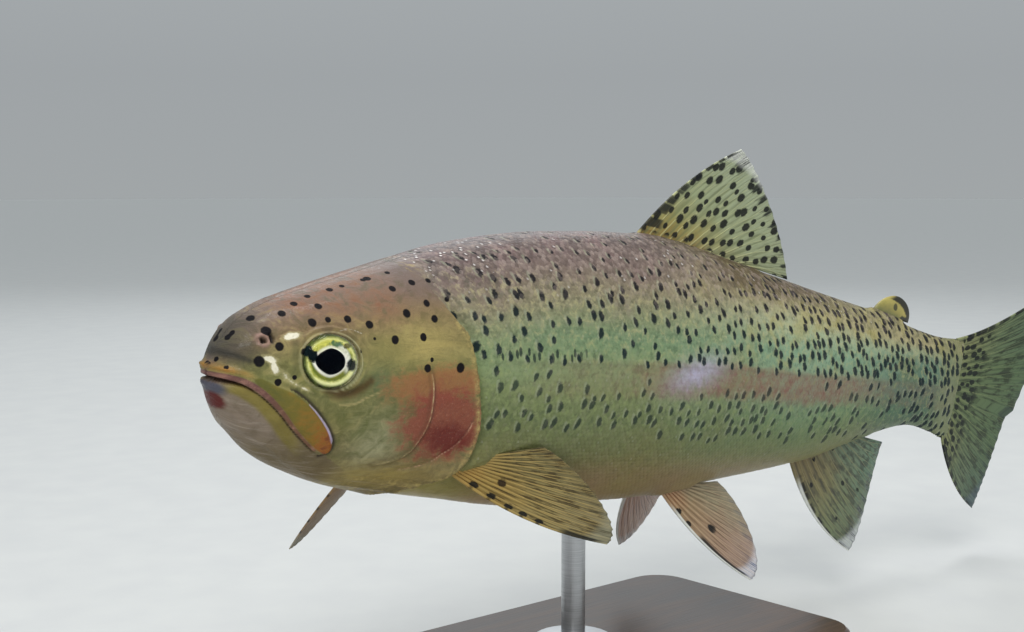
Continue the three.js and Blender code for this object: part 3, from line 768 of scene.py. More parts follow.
# %% Paint and numbers
def paint(code):
    """Linear colour from a six-digit hexadecimal display colour."""
    parts = [int(code[i : i + 2], 16) / 255 for i in (0, 2, 4)]
    return tuple(p / 12.92 if p <= 0.04045 else ((p + 0.055) / 1.055) ** 2.4 for p in parts) + (1.0,)


def operator(name, swapped=False):
    """A Python operator that adds one maths node."""

    def method(self, other):
        first, second = (other, self) if swapped else (self, other)
        return self.maths(name, first, second)

    return method


class Wire:
    """A socket that behaves like a number."""

    def __init__(self, nodes, socket):
        self.nodes = nodes
        self.socket = socket

    __add__ = operator("ADD")
    __radd__ = operator("ADD", swapped=True)
    __sub__ = operator("SUBTRACT")
    __rsub__ = operator("SUBTRACT", swapped=True)
    __mul__ = operator("MULTIPLY")
    __rmul__ = operator("MULTIPLY", swapped=True)
    __truediv__ = operator("DIVIDE")
    __pow__ = operator("POWER")
    __lt__ = operator("LESS_THAN")
    __gt__ = operator("GREATER_THAN")
    larger = operator("MAXIMUM")

    def __abs__(self):
        return self.maths("ABSOLUTE", self)

    def maths(self, operation, *values, clamp=False):
        settings = {"operation": operation, "use_clamp": clamp}
        return self.nodes.node("ShaderNodeMath", settings, dict(enumerate(values)))

    def also(self, name):
        """Another output of the same node."""
        return Wire(self.nodes, self.socket.node.outputs[name])

    def cosine(self):
        return self.maths("COSINE", self)

    def clamped(self):
        return self.maths("ADD", self, 0.0, clamp=True)

    def bump(self, centre, width):
        """Rounded hill of height 1 about a centre."""
        off = (self - centre) / width
        return self.maths("EXPONENT", off * off * -1.0)

    def step(self, low, high):
        """Smooth step from 0 at low to 1 at high; low may be the larger."""
        if low > high:
            return 1.0 - self.step(high, low)
        settings = {"interpolation_type": "SMOOTHSTEP"}
        return self.nodes.node("ShaderNodeMapRange", settings, {0: self, 1: low, 2: high, 3: 0.0, 4: 1.0})


def away(across, up):
    """Distance from the middle of an oval, given in its own half sizes."""
    return (across**2.0 + up**2.0) ** 0.5


# %% Nodes and finishes
class Nodes:
    """A node tree under construction."""

    def __init__(self, tree):
        self.tree = tree

    def plug(self, socket, value):
        if isinstance(value, Wire):
            self.tree.links.new(value.socket, socket)
        else:
            socket.default_value = value

    def node(self, kind, settings=None, values=None, out=0):
        """One node of a kind: its settings first, then the values or wires of its sockets."""
        made = self.tree.nodes.new(kind)
        for key, value in (settings or {}).items():
            if key == "stops":
                while len(made.color_ramp.elements) < len(value):
                    made.color_ramp.elements.new(0.5)
                for element, (position, code) in zip(made.color_ramp.elements, value):
                    element.position = position
                    element.color = paint(code)
            else:
                setattr(made, key, value)
        for key, value in (values or {}).items():
            self.plug(made.inputs[key], value)
        return Wire(self, made.outputs[out])

    def parts(self, vector):
        x = self.node("ShaderNodeSeparateXYZ", None, {0: vector})
        return [x, x.also("Y"), x.also("Z")]

    def ramp(self, value, stops):
        return self.node("ShaderNodeValToRGB", {"stops": stops}, {0: value})


class Finish(Nodes):
    """A material under construction, round one Principled shader."""

    def __init__(self, name, **fixed):
        self.material = bpy.data.materials.new(name)
        self.material.use_nodes = True
        super().__init__(self.material.node_tree)
        self.tree.nodes.clear()
        self.shader = self.tree.nodes.new("ShaderNodeBsdfPrincipled")
        output = self.tree.nodes.new("ShaderNodeOutputMaterial")
        self.tree.links.new(self.shader.outputs[0], output.inputs[0])
        for key, value in fixed.items():
            self.set(key.replace("_", " ").title().replace("Ior", "IOR"), value)

    def set(self, name, value):
        self.plug(self.shader.inputs[name], value)

    def mark(self, name, out="Fac"):
        """A named attribute of the mesh."""
        return self.node("ShaderNodeAttribute", {"attribute_name": name}, out=out)

    def vector(self, name):
        return self.mark(name, "Vector")

    def join(self, x, y, z):
        return self.node("ShaderNodeCombineXYZ", None, {0: x, 1: y, 2: z})

    def blend(self, factor, first, second, mode="MIX"):
        """Colours mixed by a factor; a colour may be a wire or a code."""
        first, second = (paint(c) if isinstance(c, str) else c for c in (first, second))
        settings = {"data_type": "RGBA", "blend_type": mode}
        return self.node("ShaderNodeMix", settings, {0: factor, 6: first, 7: second}, out=2)

    def washes(self, colour, coats):
        """Colours laid over a ground one after another, each through its own mask."""
        for mask, coat in coats:
            colour = self.blend(mask, colour, coat)
        return colour

    def noise(self, vector, scale, detail=2.0, roughness=0.5, distortion=0.0):
        """Noise from 0 to 1."""
        values = {"Vector": vector, "Scale": scale, "Detail": detail, "Roughness": roughness}
        return self.node("ShaderNodeTexNoise", None, {**values, "Distortion": distortion})

    def swing(self, *noise):
        """Noise on both sides of 0."""
        return self.noise(*noise) - 0.5

    def dealt(self, dimensions, values, out):
        """One place in each cell of a Voronoi pattern, and three random numbers for it."""
        values = {"Scale": 1.0, **values}
        place = self.node("ShaderNodeTexVoronoi", {"voronoi_dimensions": dimensions}, values, out=out)
        return place, self.parts(place.also("Color"))

    def bumps(self, height, depth):
        """Normal bent by a height, with the depth in metres."""
        values = {"Strength": 1.0, "Distance": depth, "Height": height}
        return self.node("ShaderNodeBump", None, values, out="Normal")

    def dress(self, piece):
        piece.data.materials.append(self.material)


print("paint helper: a07850 is", [round(c, 3) for c in paint("a07850")])


# %% [markdown]
# ## Markings of the head
# The dark spots of the head are few and each has its own place, so they are listed one by one,
# as a taxidermist paints them. Each point of the skin stores how deep it lies in the nearest
# spot. Soft patches of rose and amber, and small painted highlights, are stored in the same
# way. Behind the gill cover the spots are too many for that, and the shader deals them out.

# %% Head spots and patches
HEAD_SPOTS = [  # x, z and radius on the side of the head
    (48.5, 27, 1.1), (36, 23.5, 1.0), (29, 21.5, 0.9), (24, 18.5, 1.0), (29.5, 18.5, 1.1), (19.5, 16, 1.1),
    (26, 14.5, 1.25), (30.5, 15.5, 0.9), (36, 16, 1.1), (42, 15, 1.2), (53, 24.5, 1.1), (60, 26.5, 1.1),
    (65.5, 27.5, 0.9), (62, 21.5, 1.1), (54.5, 18.5, 1.3), (63.5, 17.5, 1.15), (69.5, 23, 0.9),
    (49.5, 11.5, 1.25), (59, 12.5, 1.15), (12.5, 14.5, 1.2), (7, 10, 1.0), (3.5, 8, 0.9), (14, 11.5, 1.4),
    (16.5, 8, 1.2), (11.5, 4, 1.5), (16.5, -1, 1.0), (23, 7, 1.3), (62, 6.5, 0.7), (60.5, 4.2, 1.2),
    (72.5, 4.5, 1.5), (78.5, 5, 0.8), (40, 25.5, 0.8), (8, 12.5, 0.8), (47, 29.5, 0.8), (55.5, 30.5, 0.8),
    (5.5, 1.4, 0.8), (4.2, 3.2, 0.7), (38.5, 8, 0.6), (35.5, 4.5, 0.7), (43, 11.5, 0.5), (20.5, 0.5, 0.7),
]


def spot_depth(points, side, spots):
    """1 in the middle of the nearest spot, 0 on its edge and less outside, measured in space."""
    depth = np.full(points.shape[:-1], -5.0)
    for cx, cz, radius in spots:
        level = min(cz, 0.965 * float(above_at(cx) * snout_round(cx)))
        middle = np.array([cx, side * float(skin_at(cx, level)), level])
        depth = np.maximum(depth, 1 - np.linalg.norm(points - middle, axis=-1) / radius)
    return depth


def patch(x, z, middle, reach, turn=0.0, soft=0.5):
    """An oval turned by degrees: 0 on its edge, more inside and less outside."""
    c, s = math.cos(math.radians(turn)), math.sin(math.radians(turn))
    dx, dz = x - middle[0], z - middle[1]
    distance = np.hypot((dx * c + dz * s) / reach[0], (dz * c - dx * s) / reach[1])
    return np.maximum((1 - distance) / soft, -3)


def stroke(x, z, points, start_half, end_half):
    """A brush stroke along a line: 1 in its middle, 0 on its edge, less outside."""
    distance, share, _ = to_line(through(points), x, z)
    return np.maximum(1 - distance / between(start_half, end_half, share), -3)


def head_fields(points, side):
    """Values of the painted patches of the head."""
    shifts = np.random.default_rng(7).uniform(-1.5, 1.5, (len(HEAD_SPOTS), 2))
    other = [(cx + dx, cz + dz, radius) for (cx, cz, radius), (dx, dz) in zip(HEAD_SPOTS, shifts)]
    x, _, z = np.moveaxis(points, -1, 0)
    left = spot_depth(points, -1, HEAD_SPOTS)
    return {
        "freckle": np.maximum(left, spot_depth(points, 1, other)),
        "blush": patch(x, z, (70, -11.5), (16, 11), -8, 0.45),
        "amber": patch(x, z, (64.5, -0.6), (17, 5.4), 4, 0.5),
        "dusk": patch(x, z, (73, -16), (8, 4.2), -8, 0.45),
        # Painted highlights: small white patches on the snout and between the nostril and the eye.
        "pearl": np.maximum.reduce([
            patch(x, z, (19.9, 10.8), (2.6, 0.95), 16, 0.35),
            patch(x, z, (13.9, 4.7), (2.5, 1.0), -12, 0.4),
            patch(x, z, (15.4, 2.7), (1.1, 2.0), 30, 0.4),
            stroke(x, z, [(15.4, 2.6), (17.8, 1.2), (20.6, -1.0), (26, -3.4)], 1.2, 0.25) - 0.45,
        ]),
        # Painted glints in arcs over the eye, with a fainter pale line above them.
        "brow": np.maximum(
            stroke(x, z, [(24.6, 9.6), (26.8, 11.3), (29.2, 12.1)], 0.22, 0.3),
            stroke(x, z, [(33.0, 13.0), (36.0, 13.5), (39.4, 12.6)], 0.3, 0.2) - 0.6),
        # A painted lilac sheen along the upper rear edge of the maxilla.
        "lilac": stroke(x, z, [(25.6, -6.6), (28.2, -8.9), (32.1, -12.9), (34.6, -16.4)], 0.35, 0.9),
        "chin_red": patch(x, z, (5.4, -7.4), (2.9, 1.35), -52, 0.4),
        "chin_blue": patch(x, z, (4.0, -3.9), (2.4, 1.3), -40, 0.5),
        # Painted shade of the fold under and behind the eye.
        "under_eye": stroke(x, z, [(30.5, -2.2), (34.5, -3.2), (38.6, -2.2), (42, 0.4)], 1.5, 1.1),
        "fold_light": stroke(x, z, [(34, -6.2), (38, -6.0), (42.0, -4.0), (46, -2.4)], 0.5, 0.4),
        "snout_dark": stroke(x, z, [(2.0, 4.9), (6.2, 4.9), (9.9, 3.8)], 1.0, 0.6),
        # Painted shade in the groove in front of the eye socket.
        "fore_eye": patch(x, z, (20.6, 6.2), (1.0, 4.2), 0, 0.6),
    }


_fields = head_fields(skin_points, _grid_side)
_fields["height"] = skin_points[..., 2]
_fields["trunk"] = np.maximum(rise(60, 70, _grid_x) * skin_marks["behind_cover"], rise(84, 90, _grid_x))
add_attributes(skin.data, {key: with_poles(values) for key, values in _fields.items()})
print("head spots:", len(HEAD_SPOTS), "on each side")

# %% [markdown]
# ## Colours of a trout
# The ground colour runs from a mauve-grey back over olive and green flanks to a pale belly.
# A rose stripe follows the lateral line. Small dark dashes lie in loose rows above and below
# it, and a Voronoi pattern deals them out: one dash at most in each of its cells. A row of
# smaller ones follows the line itself. Skin and scales call the same function, so that
# their markings agree.

# %% The trout's coat of colour
FRONT_STOPS = [
    (0, "b8aa84"), (0.06, "9c9058"), (0.14, "847c4c"), (0.24, "75774a"), (0.36, "707c50"), (0.46, "7c885a"),
    (0.54, "87986c"), (0.62, "86986e"), (0.72, "8a906c"), (0.8, "8b826a"), (0.9, "766660"), (1, "564b4c"),
]
REAR_STOPS = [
    (0, "989464"), (0.1, "7c8050"), (0.22, "6c8052"), (0.34, "728e66"), (0.46, "7e9074"), (0.56, "88a082"),
    (0.66, "94b092"), (0.76, "a8b592"), (0.86, "a89f78"), (1, "766f50"),
]
HEAD_STOPS = [
    (0, "75694c"), (0.16, "7c6e4e"), (0.3, "7f7a4c"), (0.42, "78764a"), (0.5, "7a7a48"), (0.6, "827e4e"),
    (0.7, "867a52"), (0.8, "846f52"), (0.9, "806a58"), (1, "7d6c64"),
]
BLADE_STOPS = [(0, "64622f"), (0.4, "76692c"), (0.7, "8d6829"), (0.9, "985b27"), (1, "7e4323")]


# %% Body spots
LINE_STEP = 2.7  # mm between the dashes of the row on the lateral line


def body_spots(finish, spacing, girth, x):
    """Dashes of dark pigment: their depth of colour, and the pale edge beside each."""
    run, across, side = finish.parts(finish.vector("cells"))
    run_here = run + side * 10
    flat = finish.join(run_here, across, 0)
    middle, (luck, size, turn) = finish.dealt("2D", {"Vector": flat, "Randomness": 0.8}, "Position")
    mx, my, _ = finish.parts(middle)
    dx = (run_here - mx) * spacing
    dy = (across - my) * spacing
    centre = my * spacing  # girth of the dash's own middle
    above = (centre > 0) * 2 - 1
    lean = (0.14 + x.step(200, 280) * 0.12) * above + (turn - 0.5) * 0.5
    bow = dx + dy * lean + dy * dy * 0.09
    small = centre.step(20, 40) * x.step(290, 170)
    large = 0.76 + size * 0.38 + x.step(180, 290) * 0.2 - small * 0.36
    rough = finish.swing(finish.join(run * 5, across * 5, side), 1, 3, 0.6) * 0.9
    shade = (away(bow / (1.28 * large), dy / (1.74 * large)) + rough).step(1.16, 0.62)
    rim = ((bow + 0.9) / large) ** 2 + ((dy - 0.3) / (1.9 * large)) ** 2
    pale = rim.step(1.7, 0.4) * (1 - shade)
    # Few dashes lie in the stripe, just above it in front, on the top and low on the flank.
    raised = centre - x.step(170, 120) * 5.2
    stripe = raised.step(-9.5, -7.5) * centre.step(0.4, -1)
    gap = centre.step(4.6, 6) * centre.step(11.5, 9) * x.step(190, 150)
    low = raised.step(-23.5, -28)
    top = centre.step(33, 42) * x.step(240, 180)
    sparse = centre.step(-6, -10) * x.step(215, 250) * x.step(350, 325)
    density = 0.90 - 0.82 * stripe * (1 - 0.6 * x.step(262, 305))
    density = density * (1 - 0.55 * gap) * (1 - low) * (1 - 0.35 * top)
    present = luck < density * (1 - 0.42 * sparse)
    return shade * present, pale * present


def line_dashes(finish, side, girth, x):
    """A row of small upright dashes just above the lateral line, from the cover to mid-body."""
    run = (x + side * 40) / LINE_STEP
    middle, (luck, size, turn) = finish.dealt("1D", {"W": run, "Randomness": 0.7}, "W")
    dx = (run - middle) * LINE_STEP
    dz = girth - 2.2 - (turn - 0.5) * 2.2
    oval = away((dx + dz * 0.15) / (0.56 + size * 0.25), dz / (1.15 + size * 0.5))
    return oval.step(1.2, 0.7) * (luck < 0.85) * x.step(86, 88) * x.step(138, 118)


# %% Colours of the trunk
def trout_colours(finish):
    """Base colour of the trunk and its spots, from attributes that skin and scales both have."""
    place = finish.vector("place")
    x, girth, side = finish.parts(place)
    share = finish.mark("tone") * 0.5 + 0.5
    drift = finish.swing(place, 0.035, 3, 0.55)
    fine = finish.swing(place, 0.22, 3, 0.62)
    grit = finish.swing(place, 0.9, 3, 0.6)
    mottle = finish.swing(place, 0.42, 3, 0.62, 0.5)
    level = share + drift * 0.11 + fine * 0.05
    front, rear = finish.ramp(level, FRONT_STOPS), finish.ramp(level, REAR_STOPS)
    colour = finish.blend((x + drift * 90).step(150, 255), front, rear)
    gold = finish.noise(place, 0.075, 3, 0.55, 0.6).step(0.50, 0.64) * x.step(150, 230)
    mauve = finish.noise(place, 0.09, 3, 0.5).step(0.48, 0.68) * share.step(0.66, 0.86)
    teal = girth.bump(8, 5) * x.step(84, 110) * x.step(360, 280) * (0.55 + fine * 1.6)
    colour = finish.washes(colour, [
        (gold * girth.step(-4, 6) * (0.55 + x.step(240, 320) * 0.25), "a89e60"),
        (mauve * x.step(240, 150) * 0.5, "84696a"),
        (teal.clamped() * 0.58, "5b8c6e"),
        (x.step(280, 330) * girth.step(18, 8) * 0.66, "34645a"),
    ])

    dusty = girth.step(20, 32) * x.step(220, 150)
    light = finish.blend(dusty, finish.blend(girth.step(-6, 12), "93a068", "b9b283"), "a08f86")
    dim = (fine * 4 + grit * 2 - mottle * 4).clamped()
    amount = 0.5 - girth.step(-16, -26) * 0.3
    brown = girth.step(22, 34) * x.step(180, 215) * x.step(300, 260)
    rosy = girth.step(-28, -42) * x.step(84, 110) * x.step(290, 240)
    colour = finish.washes(colour, [
        ((mottle * 6).clamped() * amount, light),
        (dim * (amount * 0.84), finish.blend(dusty, "48543a", "5a4c48")),
        (brown * 0.85, "544432"),
        (rosy * (0.3 + drift), "b58e7a"),
    ])

    wander = girth + drift * 5 + fine * 4
    stripe = wander.step(-12, -7.5) * wander.step(2.4, 0)
    strength = x.step(84, 130) * 0.2 + x.step(140, 180) * 0.4 - x.step(270, 320) * 0.36
    slope = girth + 2 - (x - 184) * 0.22 + fine * 7
    colour = finish.washes(colour, [
        (stripe * strength * (0.85 + fine * 2 + grit * 0.8), "8c5850"),
        # A lavender patch on the mid flank at the stripe: a painted reflection of the sky.
        (x.bump(184, 13) * slope.bump(0, 5) * (0.8 + mottle * 1.2), "b8b4cc"),
        (girth.bump(0, 0.5) * x.step(84, 92) * 0.2, "565e46"),
        (x.step(344, 362) * 0.7, "868a62"),
    ])

    shade, pale = body_spots(finish, finish.mark("spacing"), girth, x)
    shade = shade.larger(line_dashes(finish, side, girth, x) * 0.85)
    here = x.step(64, 72)
    faint = 1 - 0.3 * girth.step(40, 55) - 0.2 * girth.step(-1, -6) * x.step(350, 260)
    halo = finish.blend(x.step(150, 250) * girth.step(-2, 6), "a3aa90", "b3ad76")
    core = finish.blend(girth.step(26, 6), "15141b", "0e2428")
    colour = finish.washes(colour, [(pale * here * 0.4, halo), (shade * here * faint * 0.97, core)])
    return colour, place, x, girth, shade


# %% Colours of the head
def head_colours(finish, trunk_colour, place, x, girth):
    """The head's colours, laid on in washes from its ground colour to its spots."""
    mark = finish.mark
    height = mark("height")
    cloud = finish.swing(place, 0.09, 3, 0.55)
    fine = finish.swing(place, 0.55, 3, 0.6)
    streak = finish.swing(finish.join(x * 0.10, girth * 0.62, 0), 1, 4, 0.62, 0.9)
    mottle = finish.swing(place, 0.24, 4, 0.62, 0.8)
    share = mark("tone") * 0.5 + 0.5
    crown = height.step(13, 20) * x.step(10, 22) * x.step(62, 44)
    nape = height.step(18, 27) * x.step(46, 62)
    colour = finish.washes(finish.ramp(share + cloud * 0.14 + fine * 0.04, HEAD_STOPS), [
        ((mottle * 7).clamped() * (0.5 - height.step(14, 21) * 0.4), "a99c64"),
        ((mottle * -7).clamped() * 0.42, "4c4c2e"),
        (x.step(19, 5) * height.step(-1, 6) * 0.88, "434139"),
        (crown * (0.4 + cloud * 2.2 + mottle * 3), "845e48"),
        (nape * (0.55 + cloud + mottle * 1.5), "6c5e5a"),
    ])

    cheek = x.bump(42, 14) * height.bump(-13, 9)
    bright = x.bump(49, 8) * height.bump(-18, 9)
    pale = streak.step(0, 0.2) * x.step(30, 40) * x.step(66, 54) * height.step(6, -2)
    green = x.bump(45.5, 5) * height.bump(0.5, 4.5)
    upper = x.bump(60, 13) * height.bump(10.5, 5.5)
    behind = x.bump(46, 8) * height.bump(9, 4)
    under = x.bump(56, 20) * height.bump(-27.5, 4.5)
    colour = finish.washes(colour, [
        (cheek * (0.8 + cloud * 1.4 - mottle * 2), "5f6334"),
        (bright * (0.5 + mottle * 1.5), "a8a684"),
        (pale * 0.3, "a9a274"),
        (green * (0.75 + fine * 1.5), "5c6b4a"),
        (upper * (0.75 + streak * 1.6), "b3a164"),
        (behind * 0.5, "84804a"),
        (under * (0.7 + streak * 1.8), "a08c50"),
        (mark("fan") * fine.step(0.02, 0.2) * 0.5, "c2aa6a"),
    ])

    frayed = cloud * 0.8 + streak * 1.4 + fine * 1.2 + mottle * 2.6
    pitted = finish.swing(place, 1.3, 3, 0.6)
    colour = finish.washes(colour, [
        ((mark("amber") + frayed).step(-0.75, 0.85) * 0.85, "9c6a44"),
        ((mark("blush") + frayed).step(-0.6, 0.9) * 0.86, "8b4439"),
        ((mark("dusk") + frayed).step(-0.9, 1) * 0.8, "672320"),
        (pitted.step(0.07, 0.2) * mark("blush").step(-0.6, 0.4) * 0.22, "c9957a"),
    ])
    cover = mark("cover_edge")
    thread = (0.42 + fine * 3.2 + streak * 1.4).clamped()
    colour = finish.washes(colour, [
        (cover.bump(1, 0.9) * (0.3 + fine * 3.5 + streak), "b8a468"),
        # A painted shadow in the crease just behind the gill cover's free edge.
        (cover.step(0.1, -0.5) * cover.step(-2.4, -1.2) * 0.5, "3f4430"),
        (mark("preopercle").bump(0, 0.26) * thread, "d6c090"),
        (mark("preopercle").bump(1, 0.7) * 0.3, "4e3a24"),
        (mark("subopercle").bump(0, 0.26) * thread, "dcae8e"),
        # A brown crescent under the eye: painted shade of the fold there.
        ((mark("under_eye") + mottle * 2).step(-1, 1) * 0.85, "4c341a"),
        ((mark("fold_light") + fine).step(-0.3, 0.8) * 0.6, "b8a874"),
        # A dark strip in front of the eye: painted shade in the groove of the socket.
        (mark("fore_eye").step(-1, 1) * 0.45, "474b32"),
        (mark("snout_dark").step(-1, 1) * 0.7, "2a2a28"),
    ])

    jaw = finish.washes(finish.blend((height + cloud * 12).step(-10, -24), "86776a", "6d5f46"), [
        (streak.step(0, 0.2) * 0.5, "aa9d90"),
        ((mottle * -6).clamped() * 0.4, "60533c"),
    ])
    band = finish.blend(cloud.step(-0.2, 0.2), "6e6228", "857834")
    colour = finish.washes(colour, [
        (mark("jaw") * 0.88, jaw),
        (mark("jaw_band") * 0.85 * x.step(3, 8) * x.step(31, 22), band),
        ((mark("lip") * (0.75 + mottle * 3)).clamped() * x.step(20, 11), "9a7236"),
        (mark("chin_blue").step(-1, 1) * 0.8, "3f465c"),
        ((mark("chin_red") + fine).step(-0.5, 1) * 0.92, "560d10"),
        (x.step(3.2, 2) * height.step(-1.8, -3.2) * 0.8, "d9d8d2"),
    ])
    blade = finish.ramp((x - 12) / 24 + fine * 0.5 + streak * 0.6 + mottle * 0.8, BLADE_STOPS)
    pink = finish.washes(finish.blend(x.step(8, 28), "6c4048", "7e5540"), [
        # Paler mottles on the lip: painted highlights.
        ((mottle * 6 + fine * 3).clamped() * 0.45, "b07f72"),
        ((fine * -4).clamped() * 0.5, "5a3234"),
    ])
    colour = finish.washes(colour, [
        (mark("blade").step(-0.1, 0.5) * 0.92, blade),
        # A dark line in the groove along the maxilla's upper edge: painted shadow.
        (mark("blade_edge").bump(0.5, 0.45) * 0.8, "2c2226"),
        # A lilac stripe along the upper rear edge of the maxilla: painted sheen on the pale membrane there.
        (mark("lilac").step(-0.1, 0.8) * 0.9, "cabddd"),
        (mark("lip_pink").step(-0.1, 0.5) * 0.85, pink),
        # The slit is painted dark red-brown: the inside of the mouth, darkened as painted shade of the gap.
        (mark("mouth") * 0.9, "3c1c1c"),
    ])

    # Painted highlights on the snout and cheek: a soft pale spread and a bright core.
    glint_field = mark("pearl") + fine * 3 + mottle * 2
    colour = finish.washes(colour, [
        (glint_field.step(-1, 0.7) * 0.45, "c4b988"),
        (glint_field.step(0.3, 1.2) * 0.9, "f2ecd6"),
        # Pale arcs over the eye: painted glints, with a fainter pale line above them.
        ((mark("brow") + fine).step(-0.6, 0.7) * 0.75, "d6cfc0"),
        (mark("nostril_rim") * 0.7, "a8867c"),
        # The nostril pits are painted near black: painted shade in the holes.
        (mark("nostril"), "1c1412"),
        (mark("orbit_rim") * (0.35 + x.step(30, 37) * 0.5), "bdb890"),
        # The socket round the eyeball is painted near black: painted shadow in the gap between eye and skin.
        (mark("orbit") * 0.95, "14160f"),
        (mark("trunk"), trunk_colour),
        ((mark("freckle") + fine * 0.4).step(-0.14, 0.16) * 0.99, "100e13"),
    ])
    return colour, cloud


# %% Skin finish
skin_finish = Finish("trout_skin", specular_ior_level=0.12, coat_roughness=0.12, coat_ior=1.34)
_colour, _place, _x, _girth, _ = trout_colours(skin_finish)
_colour, _cloud = head_colours(skin_finish, _colour, _place, _x, _girth)
_grain = skin_finish.noise(_place, 1.6, 3, 0.6)
_veins = skin_finish.noise(_place, 0.28, 4, 0.65, 1.2)
skin_finish.set("Base Color", _colour)
_freckles = skin_finish.mark("freckle").step(-0.2, 0.1)
_wet = skin_finish.noise(_place, 0.7, 3, 0.65).step(0.45, 0.75)
skin_finish.set("Roughness", 0.38 + _grain * 0.24 - _wet * 0.12 + _freckles * 0.2)
skin_finish.set("Coat Weight", (0.12 + _cloud * 0.2 + _wet * 0.35) * (1 - _freckles * 0.92))
skin_finish.set("Normal", skin_finish.bumps(_grain * 0.4 + _veins * 0.9, 0.00045))
skin_finish.dress(skin)
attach(skin, BODY)
FLESH = ["head", "lower_jaw", "maxilla_left", "maxilla_right", "gill_cover_left", "gill_cover_right"]
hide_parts(*FLESH, "trunk", "tail_stalk")
print("skin finish:", len(skin_finish.tree.nodes), "nodes")


# %% [markdown]
# ## Scales
# A trout of this size wears some twenty thousand small round scales, in staggered rows that
# overlap like roof tiles, open towards the tail. One scale is modelled as a mesh of its own. The
# roots are laid out on the skin by its girth ruler, and Geometry Nodes set a scale on every root,
# turned to the lie of the body, tilted a little at random and realized into one mesh.

# %% One scale
SCALE_ALONG, SCALE_ACROSS = 1.9, 1.35  # distance between roots along a row, and between rows
SCALE_FRONT, SCALE_REAR, SCALE_HALF = -0.85, 1.45, 1.16  # reach of a scale from its root
SCALE_CORNERS = 8


def scale_template():
    """A thin closed shield: sunk in front, lifted at its round rear rim, with a low crown."""
    turn = np.linspace(0, 2 * math.pi, SCALE_CORNERS, endpoint=False)
    along = np.where(np.cos(turn) > 0, SCALE_REAR, -SCALE_FRONT) * np.cos(turn)
    across = SCALE_HALF * np.sin(turn)
    lift = between(-0.09, 0.07, (along - SCALE_FRONT) / (SCALE_REAR - SCALE_FRONT))
    lift = lift - 0.04 * (across / SCALE_HALF) ** 2
    points = np.concatenate([stacked(along, across, lift), [[0.3, 0, 0.09], [0.1, 0, -0.1]]])
    crown, hollow = SCALE_CORNERS, SCALE_CORNERS + 1
    sides = [(i, (i + 1) % SCALE_CORNERS) for i in range(SCALE_CORNERS)]
    faces = [(a, b, crown) for a, b in sides] + [(b, a, hollow) for a, b in sides]
    made = new_mesh_object("scale_shape", points * MM, faces, {"local": points}, smooth=False)
    bpy.context.scene.collection.objects.unlink(made)
    return made


scale_shape = scale_template()
print("one scale:", triangles(scale_shape), "triangles")

# %% Roots of the scales
scale_size_at = monotone([
    (60, 0.7), (90, 0.92), (120, 1.0), (230, 1.0), (300, 0.86), (345, 0.72), (372, 0.66),
])
SCALE_FROM, SCALE_TO = 62.0, 368.0


def scale_roots(side):
    """Straight places of the scales on one side: x, turn round the body and girth."""
    x, rows = SCALE_FROM, []
    while x < SCALE_TO:
        rows.append(x)
        x += SCALE_ALONG * float(scale_size_at(x)) / 2
    places = []
    for step, x in enumerate(rows):
        table = girth_row(min(x, BODY_END))
        pitch = SCALE_ACROSS * float(scale_size_at(x))
        first = math.ceil(table[0] / pitch)
        row = np.arange(first, math.floor(table[-1] / pitch) + 1)
        row = row[row % 2 == step % 2]
        girth = row * pitch
        places.append(stacked(np.full(len(row), x), np.interp(girth, table, TABLE_TURN), girth))
    places = np.concatenate(places)
    jitter = np.random.default_rng(11 + side).uniform(-0.12, 0.12, (len(places), 2))
    places[:, 0] += jitter[:, 0]
    places[:, 1] += jitter[:, 1] / 40
    x, turn, girth = places.T
    height = surface(x, np.where(side > 0, turn, math.pi - turn))[0][:, 2]
    distance, _, edge_side = to_line(COVER_EDGE, x, height)
    bare = (edge_side < 0) | (distance < 1.6)
    bare |= (height < -24) & (x < 90 + (height + 24) * -0.35)
    bare |= (height > 14) & (x < 70.5 - 0.32 * (height - 14))
    bare |= (x < 66) & (height < 26)
    return places[~bare]


def lie_of(x, angle):
    """World point, direction along the body and outward direction of the skin."""
    point = bent(surface(x, angle)[0])
    ahead = bent(surface(x + 0.6, angle)[0]) - bent(surface(x - 0.6, angle)[0])
    around = bent(surface(x, angle + 0.02)[0]) - bent(surface(x, angle - 0.02)[0])
    return point, unit(ahead), unit(np.cross(around, ahead))


# %% The node tree that sets the scales
class Growth(Nodes):
    """A Geometry Nodes tree with named inputs besides its geometry."""

    def __init__(self, name, inputs):
        super().__init__(bpy.data.node_groups.new(name, "GeometryNodeTree"))
        face = self.tree.interface
        for key, kind in {"Geometry": "Geometry", **inputs}.items():
            face.new_socket(key, in_out="INPUT", socket_type=f"NodeSocket{kind}")
        face.new_socket("Geometry", in_out="OUTPUT", socket_type="NodeSocketGeometry")
        given = self.tree.nodes.new("NodeGroupInput")
        self.given = {key: Wire(self, given.outputs[key]) for key in ("Geometry", *inputs)}

    def named(self, name, kind="FLOAT"):
        return self.node("GeometryNodeInputNamedAttribute", {"data_type": kind}, {"Name": name}, "Attribute")

    def dressed(self, geometry, material):
        """The finished tree: copies made real, and dressed."""
        real = self.node("GeometryNodeRealizeInstances", None, {0: geometry})
        result = self.node("GeometryNodeSetMaterial", None, {"Geometry": real, "Material": material})
        self.plug(self.tree.nodes.new("NodeGroupOutput").inputs[0], result)
        return self.tree


